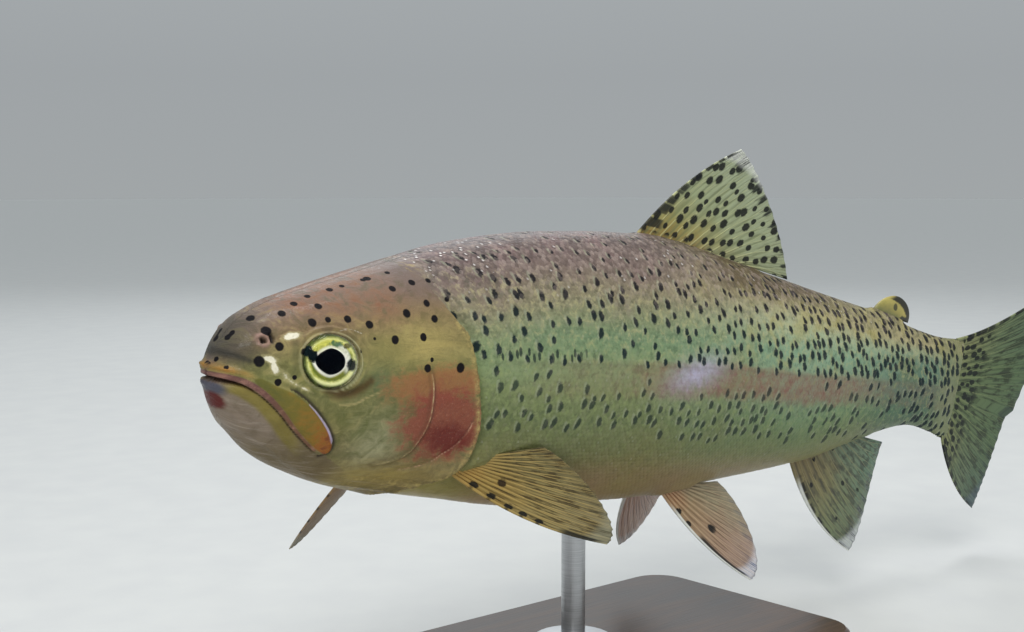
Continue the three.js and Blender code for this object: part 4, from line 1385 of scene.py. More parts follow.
def set_scales_tree(material):
    """One scale on every root, turned to its lie and tilted a little at random."""
    tree = Growth("set_scales", {"Scale shape": "Object", "Tilt": "Float", "Seed": "Int"})
    tilt, seed = tree.given["Tilt"], tree.given["Seed"]
    shape = tree.node("GeometryNodeObjectInfo", None, {"Object": tree.given["Scale shape"]}, "Geometry")
    axes = {0: tree.named("out", "FLOAT_VECTOR"), 1: tree.named("lie", "FLOAT_VECTOR")}
    lie = tree.node("FunctionNodeAxesToRotation", {"primary_axis": "Z", "secondary_axis": "X"}, axes)
    chance = tree.node("FunctionNodeRandomValue", {"data_type": "FLOAT_VECTOR"}, {
        0: tilt * -1.0, 1: tilt, "Seed": seed,
    })
    tilted = tree.node("FunctionNodeRotateRotation", {"rotation_space": "LOCAL"}, {0: lie, 1: chance})
    setting = tree.node("GeometryNodeInstanceOnPoints", None, {
        "Points": tree.given["Geometry"], "Instance": shape, "Rotation": tilted, "Scale": tree.named("size"),
    })
    luck = tree.node("FunctionNodeRandomValue", {"data_type": "FLOAT"}, {"Seed": seed}, 1)
    lucky = tree.node("GeometryNodeStoreNamedAttribute", {"data_type": "FLOAT", "domain": "INSTANCE"}, {
        "Geometry": setting, "Name": "luck", "Value": luck,
    })
    return tree.dressed(lucky, material)


def run_nodes(piece, tree, values):
    """Plain mesh of a piece's Geometry Nodes, with the modifier gone."""
    modifier = piece.modifiers.new("nodes", "NODES")
    modifier.node_group = tree
    for item in tree.interface.items_tree:
        if item.item_type == "SOCKET" and item.in_out == "INPUT" and item.name in values:
            modifier[item.identifier] = values[item.name]
    bpy.context.view_layer.update()
    graph = bpy.context.evaluated_depsgraph_get()
    mesh = bpy.data.meshes.new_from_object(piece.evaluated_get(graph), depsgraph=graph)
    piece.modifiers.clear()
    old, piece.data = piece.data, mesh
    bpy.data.meshes.remove(old)
    mesh.name = piece.name
    return mesh


def read_attribute(mesh, key, width=1):
    layer = mesh.attributes[key]
    values = np.empty(len(layer.data) * width, np.float32)
    layer.data.foreach_get("vector" if width == 3 else "value", values)
    return values.reshape(-1, width) if width > 1 else values


# %% Finish of the scales
def scale_finish():
    finish = Finish("trout_scales", specular_ior_level=0.14, coat_roughness=0.12, coat_ior=1.34)
    colour, place, x, girth, shade = trout_colours(finish)
    colour, _ = head_colours(finish, colour, place, x, girth)
    luck = finish.mark("luck")
    along, across, _ = finish.parts(finish.vector("local"))
    back = girth.step(12, 34)
    # Painted sheen: the raised rear rim of each scale is lightened, most on the back, standing for the
    # scales' glitter.
    rim_sheen = along.step(0.1, 1.3) * (0.04 + back * 0.28)
    colour = finish.washes(finish.blend(rim_sheen, colour, "c9c0b0", "SOFT_LIGHT"), [
        # Painted shade: the front of each scale, where it slips under the scales ahead, is darkened.
        (along.step(0.1, -0.6) * (0.03 + back * 0.24), "2e2a28"),
        ((luck - 0.5).larger(0) * (0.22 + back * 0.46), "362f2c"),
        ((0.5 - luck).larger(0) * (0.16 + back * 0.46), "b5a59c"),
    ])
    nape = x.step(108, 70) * girth.step(24, 34)
    glint = (luck > 0.975 - nape * 0.11) * (back * 0.4 + nape * 0.5 + 0.08)
    glint = glint * along.step(0.35, 0.9) * abs(across - 0.25).step(0.55, 0.25)
    colour = finish.blend(glint.clamped() * (1 - shade), colour, "f2ece8")
    grain = finish.noise(place, 2.2, 2, 0.6)
    finish.set("Base Color", colour)
    finish.set("Roughness", 0.46 - luck * 0.14 + grain * 0.08 + shade * 0.2)
    finish.set("Coat Weight", (0.18 - back * 0.1) * (1 - shade * 0.8))
    return finish


scales_finish = scale_finish()
scales_tree = set_scales_tree(scales_finish.material)
print("scale finish:", len(scales_finish.tree.nodes), "nodes")


# %% Setting the scales
SCALE_TILT = 0.05  # radians
BAKE_FROM, BAKE_SPAN = (60, -62), (320, 130)  # x and girth that fill the map
BAKE_PATCH = 0.0012  # a millimetre of a scale on the map


def make_scales(name, side, seed):
    places = scale_roots(side)
    x, turn, girth = places.T
    angle = np.where(side > 0, turn, math.pi - turn)
    straight, _, marks = surface(x, angle)
    point, lie, out = lie_of(x, angle)
    size = scale_size_at(x) * rise(60, 66, x)
    above, _, _ = surface(x, angle + np.where(side > 0, 0.02, -0.02))
    step = above - straight
    climb = step[:, 2] / np.maximum(np.hypot(step[:, 1], step[:, 2]), 1e-6)
    piece = new_mesh_object(name, point, [], {
        "lie": lie, "out": out, "size": size, "root": stacked(x, girth, straight[:, 2]),
        "tone": marks["tone"], "climb": climb,
    })
    mesh = run_nodes(piece, scales_tree, {"Scale shape": scale_shape, "Tilt": SCALE_TILT, "Seed": seed})
    local = read_attribute(mesh, "local", 3)
    root = read_attribute(mesh, "root", 3)
    grown = read_attribute(mesh, "size")
    vx = root[:, 0] + local[:, 0] * grown
    vg = root[:, 1] - side * local[:, 1] * grown
    vz = root[:, 2] - side * local[:, 1] * grown * read_attribute(mesh, "climb")
    height = np.clip(vz, -below_at(vx) * 0.99, above_at(vx) * 0.99)
    on_skin = stacked(vx, side * skin_at(vx, height), height)
    freckle = np.full(len(vx), -5.0)
    near = vx < 82  # no spot of the head lies further back
    freckle[near] = head_fields(on_skin[near], side)["freckle"]
    fields = skin_coordinates(vx, vg, np.full(len(vx), float(side)))
    add_attributes(mesh, {**fields, "height": vz, "trunk": rise(60, 70, vx), "freckle": freckle})
    bake = (root[:, :2] - BAKE_FROM) / BAKE_SPAN + local[:, :2] * BAKE_PATCH
    corner = np.empty(len(mesh.loops), np.int32)
    mesh.loops.foreach_get("vertex_index", corner)
    layer = mesh.uv_layers.new(name="OFBake")
    layer.data.foreach_set("uv", bake[corner].astype(np.float32).ravel())
    for key in ("lie", "out", "root", "climb"):
        mesh.attributes.remove(mesh.attributes[key])
    mesh.shade_flat()
    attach(piece, BODY)
    print(f"{name}: {len(places)} scales, {triangles(piece)} triangles")
    return piece


scales_left = make_scales("scales_left", -1, 3)
scales_right = make_scales("scales_right", 1, 4)


# %% [markdown]
# ## Eyes
# A trout's eye is a flattened ball with a golden iris and a black lens that bulges through
# the pupil, under a clear cornea. So each eye is two pieces: the iris with its lens, a
# shallow bowl that is really sunk, and the clear ball over it.

# %% Iris, lens and cornea
PUPIL_SHIFT, PUPIL_HALF, PUPIL_UP = -0.03, 0.59, 0.54  # as shares of the ring that shows
IRIS_RINGS, IRIS_SPOKES = 40, 72
PUPIL_POWER = 1.6  # a pupil with blunt corners
IRIS_STOPS = [
    (0, "e6e6c8"), (0.46, "dedd9c"), (0.53, "a9a648"), (0.60, "80842f"), (0.68, "6c7630"), (0.75, "c6c65c"),
    (0.81, "e4e39c"), (0.86, "9ba056"), (0.90, "5c663a"), (0.94, "262c1c"), (1, "6c6e4a"),
]


def eye_mesh(name, side, shares, lifts):
    """Closed shape from rings: shares of the eyeball's radii, and heights out of its middle plane."""
    turn = np.linspace(0, 2 * math.pi, IRIS_SPOKES, endpoint=False)
    rho, lift = np.asarray(shares)[:, None], np.asarray(lifts)[:, None]
    ahead, up = rho * np.cos(turn), rho * np.sin(turn)
    local = stacked(-EYE_RADII[0] * ahead, side * lift, EYE_RADII[2] * up)
    world = bent(eye_centre(side) + local @ eye_axes(side).T)
    rings = len(shares)
    faces = []
    for i in range(rings - 1):
        for j in range(IRIS_SPOKES):
            k = (j + 1) % IRIS_SPOKES
            a, b = i * IRIS_SPOKES, (i + 1) * IRIS_SPOKES
            faces.append((a + j, a + k, b + k, b + j))
    faces.append(tuple(range(IRIS_SPOKES))[::-1])
    faces.append(tuple((rings - 1) * IRIS_SPOKES + j for j in range(IRIS_SPOKES)))
    if side < 0:
        faces = [face[::-1] for face in faces]
    disc = stacked(ahead / EYE_RIM, up / EYE_RIM, 0 * up).reshape(-1, 3)
    return new_mesh_object(name, world.reshape(-1, 3), faces, {"iris": disc})


_share = np.concatenate([np.linspace(0.015, 0.86, IRIS_RINGS), np.linspace(0.9, 0.99, 5)])
_dome = np.sqrt(np.maximum(0, 1 - (_share / 0.47) ** 2))
_front = np.where(_share < 0.86, 1.75 + 0.5 * (_share / 0.86) ** 2, 4.25 * np.sqrt(1 - _share**2))
_front = np.maximum(_front, np.where(_share < 0.47, 1.8 + 1.9 * _dome, -9))
_back_share = np.sin(np.linspace(math.pi / 2, 0.02, 14))
IRIS_SHARES = np.concatenate([_share, _back_share * 0.99])
IRIS_LIFTS = np.concatenate([_front, -3.6 * np.cos(np.linspace(math.pi / 2, 0.02, 14)) - 0.05])
CORNEA_TURN = np.linspace(0.02, math.pi - 0.02, 44)


def iris_paint():
    """Gold in rings, with white, yellow and green fields, dark blotches and a black pupil."""
    finish = Finish("iris", roughness=0.5, specular_ior_level=0)
    disc = finish.vector("iris")
    ahead, up, _ = finish.parts(disc)
    ring = away(ahead, up)
    pupil = abs((ahead + PUPIL_SHIFT) / PUPIL_HALF) ** PUPIL_POWER + abs(up / PUPIL_UP) ** PUPIL_POWER
    pupil = pupil ** (1 / PUPIL_POWER)
    fibres = finish.swing(disc, 7, 4, 0.6, 0.8)
    clouds = finish.swing(disc, 2.2, 2, 0.5)
    yellow = (ahead * 0.6 + up * 0.8).step(0.35, 0.6) * ring.bump(0.72, 0.16)
    white = (up * 0.35 - ahead).step(0.3, 0.62) * ring.step(0.84, 0.7)
    teal = away((ahead + 0.14) / 0.24, (up - 0.72) / 0.11) + fibres * 3
    tan = away((ahead + 0.56) / 0.15, (up - 0.66) / 0.1) + fibres * 2
    low_arc = ring.bump(0.9, 0.07) * (up * -0.8 - ahead * 0.5).step(0.1, 0.5)
    front = away((ahead - 0.73) / 0.2, (up - 0.17) / 0.24) + fibres
    rim = away((ahead - 0.93) / 0.17, (up - 0.36) / 0.2) + fibres
    rear = away((ahead + 0.8) / 0.16, (up + 0.1) / 0.24) + fibres
    blotch = front.step(1.2, 0.85).larger(rear.step(1.35, 0.8) * 0.98).larger(rim.step(1.2, 0.85))
    finish.set("Base Color", finish.washes(finish.ramp((ring + fibres * 0.14) / 1.12, IRIS_STOPS), [
        ((clouds * 8).clamped() * 0.55, "6a7a30"),
        (yellow * (0.8 + fibres * 3), "dcd968"),
        (white * (0.9 + fibres * 2), "efeedd"),
        (pupil.step(1.30, 1.10) * (0.75 + (ahead * 0.5 - up).step(-0.3, 0.4) * 0.25), "f3f2e6"),
        (teal.step(1.3, 0.6) * 0.8, "2f6450"),
        (tan.step(1.2, 0.7) * 0.8, "3c2f1c"),
        (low_arc * (1 + fibres * 2), "f0efb0"),
        (blotch, "0e181c"),
        (pupil.step(1.03, 0.97), "020409"),
    ]))
    finish.set("Normal", finish.bumps(fibres, 0.00025))
    return finish


iris_finish = iris_paint()
cornea_finish = Finish("cornea", roughness=0, transmission_weight=1)
cornea_finish.set("IOR", 1.12)
cornea_finish.set("Base Color", (1, 1, 1, 1))

for _name, _side in (("left", -1), ("right", 1)):
    iris = eye_mesh(f"iris_{_name}", _side, IRIS_SHARES, IRIS_LIFTS)
    iris_finish.dress(iris)
    cornea = eye_mesh(f"cornea_{_name}", _side, np.sin(CORNEA_TURN), EYE_RADII[1] * np.cos(CORNEA_TURN))
    cornea_finish.dress(cornea)
    for piece in (iris, cornea):
        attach(piece, BODY)
    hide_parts(f"eye_{_name}")
print("eyes:", triangles(iris), "and", triangles(cornea), "triangles")


# %% [markdown]
# ## Fins
# A trout's fin is a thin double skin over soft rays. Each ray is a stem at the root, splits
# in two and splits again, and only the front one stays whole. The web is one closed sheet
# with a scalloped margin. The rays are lines in the same sheet, which Geometry Nodes turn
# into tapering tubes, so that they stand out on both faces. Each kind of fin has a look of
# its own, and so have the side fins of the right side; the right pelvic fin's look is the
# pelvic one made paler, painted light against the shade it lies in.

# %% The web of a fin
WEB_ROWS = 44
RAY_COLUMNS = 8  # columns of the web for each ray
WEB_HALF = {"root": 0.24, "edge": 0.08}
ROOT_SUNK = -0.04  # the web starts inside the body


def margin_reach(fin, v):
    """Share of the blade that the web reaches; it falls back between the rays."""
    if not fin["rays"]:
        return np.ones_like(v)
    beat = np.abs(np.sin(math.pi * v * fin["rays"]))
    return 1 - 0.010 * beat * rise(0.02, 0.12, v)


def wave(fin, u, v):
    """A little life in the flat blade, in millimetres out of its plane."""
    rays = max(fin["rays"], 1)
    return 0.08 * np.sin(2 * math.pi * v * rays) * u + 0.7 * np.sin(5.0 * v + 1.0) * u**2 * (0.4 + 0.6 * v)


def web_sheet(fin, columns_v, half_root, half_edge):
    """Grids of a web: both faces in the straight fish, its fin coordinates and the rays' way."""
    v = np.asarray(columns_v, float)[None]
    u = np.linspace(ROOT_SUNK, 1, WEB_ROWS)[:, None] * margin_reach(fin, v)
    half = between(half_root, half_edge, np.clip(u, 0, 1)) * (0.35 + 0.65 * np.clip((1 - u) / 0.02, 0, 1))
    bend = wave(fin, np.clip(u, 0, 1), v)
    return {
        "front": fin_point(fin, u, v, bend + half),
        "back": fin_point(fin, u, v, bend - half),
        "blade": stacked(v * max(fin["rays"], 1), u, v),
        "sheet": level(fin_plane(fin, u, v)),
        "way": ray_way(fin, u, v),
    }


def close_sheet(front, back):
    """Faces of a closed sheet whose two sides are grids of the same size."""
    rows, columns = front.shape[:2]
    index = np.arange(rows * columns).reshape(rows, columns)
    far = rows * columns
    quads = stacked(index[:-1, :-1], index[:-1, 1:], index[1:, 1:], index[1:, :-1]).reshape(-1, 4)
    faces = quads.tolist() + (quads + far)[:, ::-1].tolist()
    rim = np.concatenate([index[0, :-1], index[:-1, -1], index[-1, :0:-1], index[:0:-1, 0]])
    for a, b in zip(rim, np.roll(rim, -1)):
        faces.append((b, a, a + far, b + far))
    return faces


def outward(piece):
    """Turn every face outwards if the closed shape came out inside out."""
    mesh = piece.data
    mesh.calc_loop_triangles()
    place = np.empty(len(mesh.vertices) * 3)
    mesh.vertices.foreach_get("co", place)
    corner = np.empty(len(mesh.loop_triangles) * 3, np.int32)
    mesh.loop_triangles.foreach_get("vertices", corner)
    a, b, c = place.reshape(-1, 3)[corner.reshape(-1, 3)].transpose(1, 0, 2)
    volume = np.einsum("ij,ij->i", a, np.cross(b, c)).sum() / 6
    if volume < 0:
        mesh.flip_normals()


def level(plane):
    """Points of a plane, with a third coordinate of 0."""
    return np.concatenate([plane, np.zeros(plane.shape[:-1] + (1,))], -1)


def ray_way(fin, u, v):
    """Unit direction of the rays in the plane of the blade."""
    return level(unit(fin_plane(fin, u + 0.01, v) - fin_plane(fin, u - 0.01, v)))


def web_columns(fin):
    return np.linspace(0, 1, max(fin["rays"], 5) * RAY_COLUMNS + 1)


def sheet_piece(name, grids):
    """Closed piece from the grids of its two faces; every other grid is a field of both."""
    front, back = grids.pop("front"), grids.pop("back")
    points = np.concatenate([front.reshape(-1, 3), back.reshape(-1, 3)])
    fields = {key: np.concatenate([grid.reshape(-1, 3)] * 2) for key, grid in grids.items()}
    fields["ray"] = np.zeros(len(points))
    piece = new_mesh_object(name, bent(points), close_sheet(front, back), fields)
    outward(piece)
    return piece


def make_web(name, parts):
    """One web from one or more fins that share an edge."""
    sheets = []
    for fin, columns in parts:
        root = fin.get("root_half", ROOT_HALF) * WEB_HALF["root"] / ROOT_HALF
        sheets.append(web_sheet(fin, columns, root, WEB_HALF["edge"]))
    return sheet_piece(name, {key: np.concatenate([sheet[key] for sheet in sheets], 1) for key in sheets[0]})


# %% Rays as lines
RAY_THICK = {"stem": 0.50, "tip": 0.17}
RAY_SIDES = 6
# Each stage of a ray: where it ends, how far its branches part, and its thickness.
RAY_STAGES = [(0.44, (0.0,), 1.0), (0.74, (-0.21, 0.21), 0.78), (0.985, (-0.10, 0.10), 0.66)]
FRONT_RAY = [(1.0, (0.0,), 1.25)]  # the front ray stays whole


def ray_lines(fin):
    """Lines of v and u with their half thickness, for every branch of every ray."""
    rays = fin["rays"]
    lines = []
    for i in range(rays):
        branches = [((i + 0.06) / (rays - 0.4) if i else 0.004, -0.05)]
        for stage, (stop, shifts, full) in enumerate(RAY_STAGES if i else FRONT_RAY):
            grown = []
            for v0, u0 in branches:
                for shift in shifts:
                    u = np.linspace(u0, stop, 12 if stage else 16)
                    spread = rise(0, 1, (u - u0) / (stop - u0))
                    v = np.clip(v0 + spread * shift / rays, 0.002, 0.998)
                    thick = between(RAY_THICK["stem"], RAY_THICK["tip"], np.clip(u, 0, 1) ** 0.8)
                    lines.append((v, u, thick * full))
                    grown.append((float(v[-1]), stop))
            branches = grown
    return lines


def rays_tree(material):
    """Tubes along lines, as thick as each line says."""
    tree = Growth("grow_rays", {"Sides": "Int"})
    lines = tree.node("GeometryNodeMeshToCurve", None, {0: tree.given["Geometry"]})
    circle = {"Radius": MM, "Resolution": tree.given["Sides"]}
    tubes = tree.node("GeometryNodeCurveToMesh", None, {
        "Curve": lines, "Profile Curve": tree.node("GeometryNodeCurvePrimitiveCircle", None, circle),
        "Scale": tree.named("thick"), "Fill Caps": True,
    })
    return tree.dressed(tubes, material)


def make_rays(name, fins, material):
    """All the rays of one fin as tapering tubes."""
    points, edges = [], []
    fields = {"thick": [], "blade": [], "sheet": [], "way": []}
    for fin in fins:
        for v, u, half in ray_lines(fin):
            first = len(points)
            points.extend(bent(fin_point(fin, u, v, wave(fin, np.clip(u, 0, 1), v))))
            edges.extend((first + i, first + i + 1) for i in range(len(u) - 1))
            fields["thick"].extend(half)
            fields["blade"].extend(stacked(v * fin["rays"], u, v))
            fields["sheet"].extend(level(fin_plane(fin, u, v)))
            fields["way"].extend(ray_way(fin, u, v))
    mesh = bpy.data.meshes.new(name)
    mesh.from_pydata([tuple(p) for p in points], edges, [])
    add_attributes(mesh, {**fields, "ray": np.ones(len(points))})
    piece = new_object(name, mesh)
    made = run_nodes(piece, rays_tree(material), {"Sides": RAY_SIDES})
    made.shade_smooth()
    outward(piece)
    return piece


# %% Fin finishes
FIN_LOOK = {  # what a look says unless it says otherwise
    "spot_tone": "15191c", "front_dark": 0.05, "front_light": 0, "beads": (), "line": 0, "margin": 0.2,
}
# web runs from the root to the margin. spot: spacing, half size, share of cells and reach.
# front_dark and front_light are bands behind the front edge; the dark one starts at line,
# and is left out where that is past the tip. beads are dark spots along it.
FIN_LOOKS = {
    "dorsal": {
        "web": [(0, "9c7f42"), (0.14, "a59a5e"), (0.4, "a3ab84"), (1, "a6b094")],
        "ray": "b0b080", "gap": "747c54", "rear": "a8b08c", "tip": "eceee6", "edge": "161a18",
        "spot": (5.1, 1.25, 0.97, 1), "spot_tone": "0e1012", "streak": 0.1, "front_dark": 0.034,
        "margin": 0.92, "clear": 0.05,
    },
    "anal": {
        "web": [(0, "8c7c58"), (0.3, "86805a"), (0.65, "7c8662"), (1, "6f806c")],
        "ray": "938a68", "gap": "3e3e3a", "rear": "6c8a76", "tip": "e8ecec", "edge": "26303c",
        "spot": (9.5, 0.8, 0.3, 0.75), "streak": 0.65, "front_dark": 0.03, "front_light": 0.014,
        "line": 0.1, "margin": 0.5, "clear": 0.12,
    },
    "caudal": {
        "web": [(0, "8a8e66"), (0.14, "84885e"), (0.4, "6c7a58"), (1, "54705c")],
        "ray": "848a60", "gap": "2a3226", "rear": "60744e", "tip": "5f7078", "edge": "2c3a38",
        "spot": (3.7, 1.15, 0.9, 0.3), "spot_tone": "141c19", "streak": 0.75, "front_dark": 0.03,
        "margin": 0.6, "clear": 0.05,
    },
    "pelvic": {
        "web": [(0, "b47e56"), (0.25, "a68c6a"), (0.6, "a88c76"), (1, "ac968c")],
        "ray": "c2a98c", "gap": "6a5240", "rear": "9c9a7c", "tip": "e8eaf2", "edge": "3c4a74",
        "spot": (11, 1.5, 0.3, 0.5), "streak": 0.2, "front_light": 0.016,
        "beads": (0.2, 0.32), "line": 0.42, "clear": 0.08,
    },
    # The far pelvic fin's look: the pelvic one made paler and pinker, painted light against the shade that
    # the fin lies in.
    "pelvic_far": {
        "web": [(0, "c99c84"), (0.4, "cea793"), (1, "dcc2b2")],
        "ray": "dcbfae", "gap": "8c7068", "rear": "d0b6aa", "tip": "d8ccc6", "edge": "8c7a74",
        "spot": (11, 1.4, 0.1, 0.5), "streak": 0.1, "front_dark": 0, "front_light": 0.03, "clear": 0.15,
    },
    "pectoral": {
        "web": [(0, "a0702e"), (0.25, "a28648"), (0.6, "968758"), (1, "8a8060")],
        "ray": "b49a5c", "gap": "3c301c", "rear": "6c6440", "tip": "9d9a80", "edge": "4c4630",
        "spot": (8.5, 1.2, 0.4, 0.55), "spot_tone": "2c2015", "streak": 0.75,
        "beads": (0.17, 0.28, 0.39, 0.48, 0.58), "line": 0.68, "margin": 0.45, "clear": 0.04,
    },
    "pectoral_far": {
        "web": [(0, "94704a"), (0.4, "957650"), (1, "8f7a58")],
        "ray": "a3855c", "gap": "54402c", "rear": "8c7450", "tip": "9d9a86", "edge": "6c664c",
        "spot": (9, 1, 0.3, 0.5), "spot_tone": "2c2015", "streak": 0.3,
        "beads": (0.2, 0.32, 0.44, 0.56, 0.68, 0.8), "line": 2, "margin": 0.3, "clear": 0.1,
    },
}


def fin_spots(finish, sheet, look):
    """Dark ovals dealt out over the flat blade, drawn out along its rays."""
    apart, half, density, _ = look["spot"]
    values = {"Vector": sheet, "Scale": 1 / apart, "Randomness": 0.7}
    middle, (luck, size, _) = finish.dealt("2D", values, "Position")
    place_x, place_z, _ = finish.parts(sheet)
    middle_x, middle_z, _ = finish.parts(middle)
    way_x, way_z, _ = finish.parts(finish.vector("way"))
    dx, dz = place_x - middle_x, place_z - middle_z
    along = (dx * way_x + dz * way_z) / 1.5
    across = dz * way_x - dx * way_z
    ragged = finish.swing(sheet, 0.9, 2, 0.6) * 0.5
    oval = away(along, across) / (half * (0.75 + size * 0.5)) + ragged
    return oval.step(1.12, 0.75) * (luck < density)


def front_edge(finish, colour, look, u, front):
    """Dark beads and a dark line behind the front edge, and a pale line on it."""
    dark, light = look["front_dark"], look["front_light"]
    if dark:
        line = u.step(look["line"], look["line"] + 0.08) * u.step(0.99, 0.9)
        if not look["beads"]:
            line = finish.noise(finish.join(u * 15, 3, 0), 1, 1).step(0.42, 0.52) * line
        for centre in look["beads"]:
            bead = away((u - centre) / 0.026, (front / dark - 0.5) / 0.5)
            colour = finish.blend(bead.step(1.15, 0.8) * 0.95, colour, "101214")
        colour = finish.blend(front.step(dark * 1.2, dark * 0.8) * line * 0.9, colour, "15181b")
    if light:
        pale = front.step(light * 1.2, light * 0.7) * u.step(0.1, 0.25)
        colour = finish.blend(pale * 0.9, colour, "e3e4de")
    return colour


def fin_finish(kind, rays):
    """Finish of one kind of fin, whose blade has so many rays."""
    look = {**FIN_LOOK, **FIN_LOOKS[kind]}
    finish = Finish(f"{kind}_fin", coat_roughness=0.15, specular_ior_level=0.12)
    ray_count, u, v = finish.parts(finish.vector("blade"))
    sheet, ray = finish.vector("sheet"), finish.mark("ray")
    cloud = finish.swing(sheet, 0.12, 3, 0.55)
    streaky = finish.swing(finish.join(ray_count * 3, u * 2.6, 0), 1, 3, 0.6)
    long_streaks = finish.swing(finish.join(ray_count * 1.4, u * 5, 7), 1, 3, 0.65)
    # The web darkens between the rays, and the lines double where the rays split.
    turn = (ray_count * (1 - 0.4 / rays) - 0.06) * (2 * math.pi)
    single, double, fourfold = ((turn * n).cosine() for n in (1, 2, 4))
    first, second = u.step(0.36, 0.5), u.step(0.66, 0.8)
    lines = single * (1 - first) + double * first * (1 - second) + fourfold * second
    lines = (lines * -0.8 + streaky * 3).clamped()
    streaks = long_streaks.step(-0.02, 0.10) * u.step(0.03, 0.2) * (1 - ray * 0.6)
    reach = look["spot"][3]
    spots = fin_spots(finish, sheet, look) * u.step(0.01, 0.04) * u.step(reach + 0.1, reach)
    dashes = (single * -1.2 + streaky * 5 + 0.1).clamped() * (u + streaky * 0.4).step(0.84, 0.92)
    tip = (u + v * -0.35).step(0.80, 0.88)
    colour = finish.washes(finish.ramp(u + cloud * 0.3, look["web"]), [
        ((v + cloud * 0.5).step(0.25, 0.8) * 0.7, look["rear"]),
        (lines * (0.6 - second * 0.25) * (1 - ray), look["gap"]),
        (streaks * look["streak"], look["gap"]),
        (ray * 0.5, look["ray"]),
        (spots * 0.95, look["spot_tone"]),
        (dashes * look["margin"], look["edge"]),
        (tip * (0.75 + streaky * 1.5).clamped(), look["tip"]),
        (tip * (streaky * 6).clamped(), look["edge"]),
    ])
    front = v * (u + 0.2)  # grows with the distance from the front edge
    finish.set("Base Color", front_edge(finish, colour, look, u, front))
    finish.set("Roughness", 0.42 + cloud * 0.15)
    finish.set("Coat Weight", 0.15 + streaky * 0.1)
    finish.set("Normal", finish.bumps(spots * 0.1 - lines, 0.00015))
    thin = u.step(0.1, 0.5) * (1 - spots) + u.step(0.84, 0.90) * 1.2
    finish.set("Alpha", 1 - thin * (1 - ray) * look["clear"])
    return finish


def adipose_finish():
    """Fatty yellow skin with a black rim behind and two soft spots."""
    finish = Finish("adipose_fin", coat_roughness=0.15, specular_ior_level=0.35, coat_weight=0.2)
    _, u, v = finish.parts(finish.vector("blade"))
    sheet = finish.vector("sheet")
    sx, sz, _ = finish.parts(sheet)
    cloud = finish.swing(sheet, 0.5, 3, 0.6)
    rim = (u + cloud * 0.12).step(0.66, 0.74).larger((v + cloud * 0.1).step(0.80, 0.88) * u.step(0.15, 0.3))
    spot = away((sx - 320.5) / 1.3, (sz - 30.6) / 1.6) + cloud * 0.5
    low = away((sx - 325.5) / 1.2, (sz - 26.2) / 1.2) + cloud * 0.5
    ground = [(0, "6f7048"), (0.3, "948c4e"), (0.6, "b3a65c"), (1, "a99c54")]
    finish.set("Base Color", finish.washes(finish.ramp(u + cloud * 0.4, ground), [
        (rim * v.step(0.04, 0.22) * 0.95, "101416"),
        (spot.step(1.15, 0.8) * 0.85, "2a2c20"),
        (low.step(1.15, 0.8) * 0.75, "2a2c20"),
    ]))
    finish.set("Roughness", 0.4 + cloud * 0.15)
    return finish


# %% Webs and rays
FIN_PIECES = {  # piece: its CAD blades and its finish
    "dorsal": (["dorsal_fin"], "dorsal"),
    "anal": (["anal_fin"], "anal"),
    "caudal": (["caudal_fin_upper", "caudal_fin_lower"], "caudal"),
    "pectoral_left": (["pectoral_fin_left"], "pectoral"),
    "pectoral_right": (["pectoral_fin_right"], "pectoral_far"),
    "pelvic_left": (["pelvic_fin_left"], "pelvic"),
    "pelvic_right": (["pelvic_fin_right"], "pelvic_far"),
}
for _name, (_nodes, _kind) in FIN_PIECES.items():
    _fins = [FINS[node] for node in _nodes]
    _parts = [(_fins[0], web_columns(_fins[0]))]
    if len(_fins) > 1:  # the lower lobe runs on from the notch of the upper one
        _parts.append((_fins[1], web_columns(_fins[1])[::-1]))
    _finish = fin_finish(_kind, _fins[0]["rays"])
    web = make_web(f"{_name}_web", _parts)
    _finish.dress(web)
    rays = make_rays(f"{_name}_rays", _fins, _finish.material)
    for piece in (web, rays):
        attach(piece, BODY)
    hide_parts(*_nodes)
    print(f"{_name}: web {triangles(web)} triangles, rays {triangles(rays)}")

# %% [markdown]
# ## Adipose fin
# The small fin in front of the tail is a soft flap of fatty skin without rays, so it is a
# thicker lens with a round rim.

# %% Adipose fin
ADIPOSE_ROWS = 40
ADIPOSE_HALF = (1.45, 0.75)  # half thickness at the root and near the margin


def make_adipose():
    fin = FINS["adipose_fin"]
    v = np.linspace(0, 1, ADIPOSE_ROWS)[None]
    u = np.linspace(-0.1, 1, ADIPOSE_ROWS)[:, None] * np.ones_like(v)
    inner = np.clip(u, 0, 1)
    half = between(*ADIPOSE_HALF, inner) * np.sqrt(np.clip(1 - inner**6, 0.02, 1))
    half = half * np.sqrt(np.clip(1 - (2 * v - 1) ** 6, 0.05, 1))
    return sheet_piece("adipose", {
        "front": fin_point(fin, u, v, half),
        "back": fin_point(fin, u, v, -half),
        "blade": stacked(v, u, v),
        "sheet": level(fin_plane(fin, u, v)),
    })


adipose = make_adipose()
adipose_finish().dress(adipose)
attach(adipose, BODY)
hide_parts("adipose_fin")
print("adipose fin:", triangles(adipose), "triangles")


# %% [markdown]
# ## The stand
# The base is a block of dark stained wood with a satin varnish, and the rod is brushed
# steel. Their solids already have the right shape, so they keep it and only get finishes.
# Wood grain is noise drawn out along the plank, and brushing is noise drawn out round the rod.

# %% Stand finishes
def drawn_noise(finish, scales, *noise):
    """Noise in a piece's own coordinates, with a scale for each axis."""
    place = finish.node("ShaderNodeTexCoord", out="Object")
    drawn = finish.node("ShaderNodeVectorMath", {"operation": "MULTIPLY"}, {0: place, 1: scales})
    return finish.noise(drawn, 1, *noise)


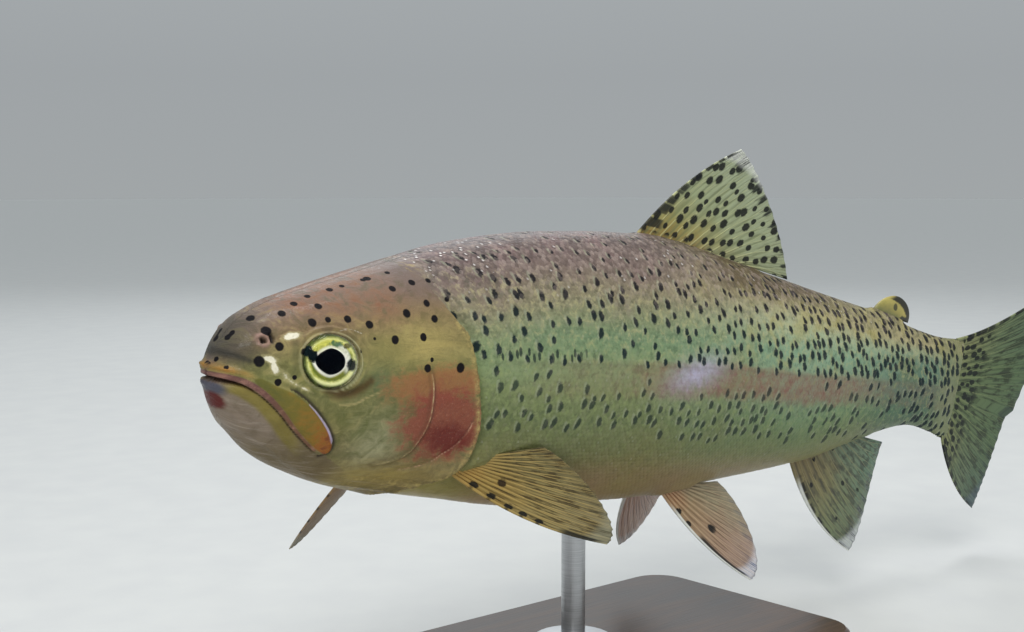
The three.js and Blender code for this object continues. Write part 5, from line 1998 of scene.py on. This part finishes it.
wood = Finish("dark_wood", specular_ior_level=0.5, coat_weight=0.35, coat_roughness=0.18)
_rings = drawn_noise(wood, (9, 70, 30), 4, 0.6, 1.4)
_pores = drawn_noise(wood, (60, 1500, 900), 2, 0.6)
_tone = wood.ramp(_rings, [(0.3, "2a1a12"), (0.48, "3c281b"), (0.6, "4d3524"), (0.72, "35231a")])
wood.set("Base Color", wood.blend(_pores.step(0.42, 0.3) * 0.6, _tone, "1a100b"))
wood.set("Roughness", 0.36 + _rings * 0.16)
wood.set("Normal", wood.bumps(_pores * 0.5 + _rings * 0.5, 0.0002))

steel = Finish("brushed_steel", metallic=1)
_brush = drawn_noise(steel, (60, 60, 2600), 3, 0.7)
steel.set("Base Color", steel.ramp(_brush, [(0.3, "a4a6a9"), (0.7, "c2c4c6")]))
steel.set("Roughness", 0.24 + _brush * 0.18)
steel.set("Normal", steel.bumps(_brush, 0.00004))

for _node, _finish in (("stand_base", wood), ("stand_rod", steel)):
    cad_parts[_node].material_slots[0].material = _finish.material
print("stand: wood and steel")

# %% [markdown]
# ## Studio
# A wide pale floor runs out of sight, under a pale sky and a few large soft lamps. The main
# one stands high in front of the fish's left side, as daylight falls through water.

# %% Floor, sky and lamps
FLOOR_HALF = 30


def make_floor():
    corners = [(x * FLOOR_HALF, y * FLOOR_HALF, 0) for x, y in ((-1, -1), (1, -1), (1, 1), (-1, 1))]
    floor = new_mesh_object("floor", corners, [(0, 1, 2, 3)], smooth=False)
    finish = Finish("floor_paint")
    speckle = drawn_noise(finish, (40, 40, 40), 3, 0.5)
    finish.set("Base Color", finish.ramp(speckle, [(0.3, "cbcccc"), (0.7, "d0d1d0")]))
    finish.set("Roughness", 0.62 + speckle * 0.1)
    finish.dress(floor)


def soft_lamp(name, place, target, size, power, colour=(1, 1, 1)):
    light = bpy.data.lights.new(name, "AREA")
    light.size = size
    light.energy = power
    light.color = colour
    lamp = new_object(name, light)
    lamp.location = place
    x, y, z = np.array(place) - target
    lamp.rotation_euler = (math.atan2(math.hypot(x, y), z), 0, math.atan2(x, -y))


make_floor()
SKY_STRENGTH = 0.8
SKY_STOPS = [(0, "b2b7b9"), (0.08, "b0b5b8"), (0.4, "c6cdd0"), (1, "eef4f6")]  # horizon to zenith
world = bpy.data.worlds.new("studio_sky")
world.use_nodes = True
sky = Nodes(world.node_tree)
_up = sky.parts(sky.node("ShaderNodeTexCoord", out="Generated"))[2]
_background = world.node_tree.nodes["Background"]
sky.plug(_background.inputs["Color"], sky.ramp(_up, SKY_STOPS))
sky.plug(_background.inputs["Strength"], SKY_STRENGTH)
bpy.context.scene.world = world
bpy.context.scene.view_settings.view_transform = "Standard"
HEART = (0, 0, 0.12)
soft_lamp("key", (-0.75, -0.85, 1.25), HEART, 0.7, 12.5, (1, 0.98, 0.94))
soft_lamp("top", (0.15, -0.1, 1.5), HEART, 0.5, 6.5)
soft_lamp("rear", (0.9, 1.1, 1.1), HEART, 0.9, 5, (0.95, 0.98, 1))
print("three soft lamps and a floor", 2 * FLOOR_HALF, "m across")
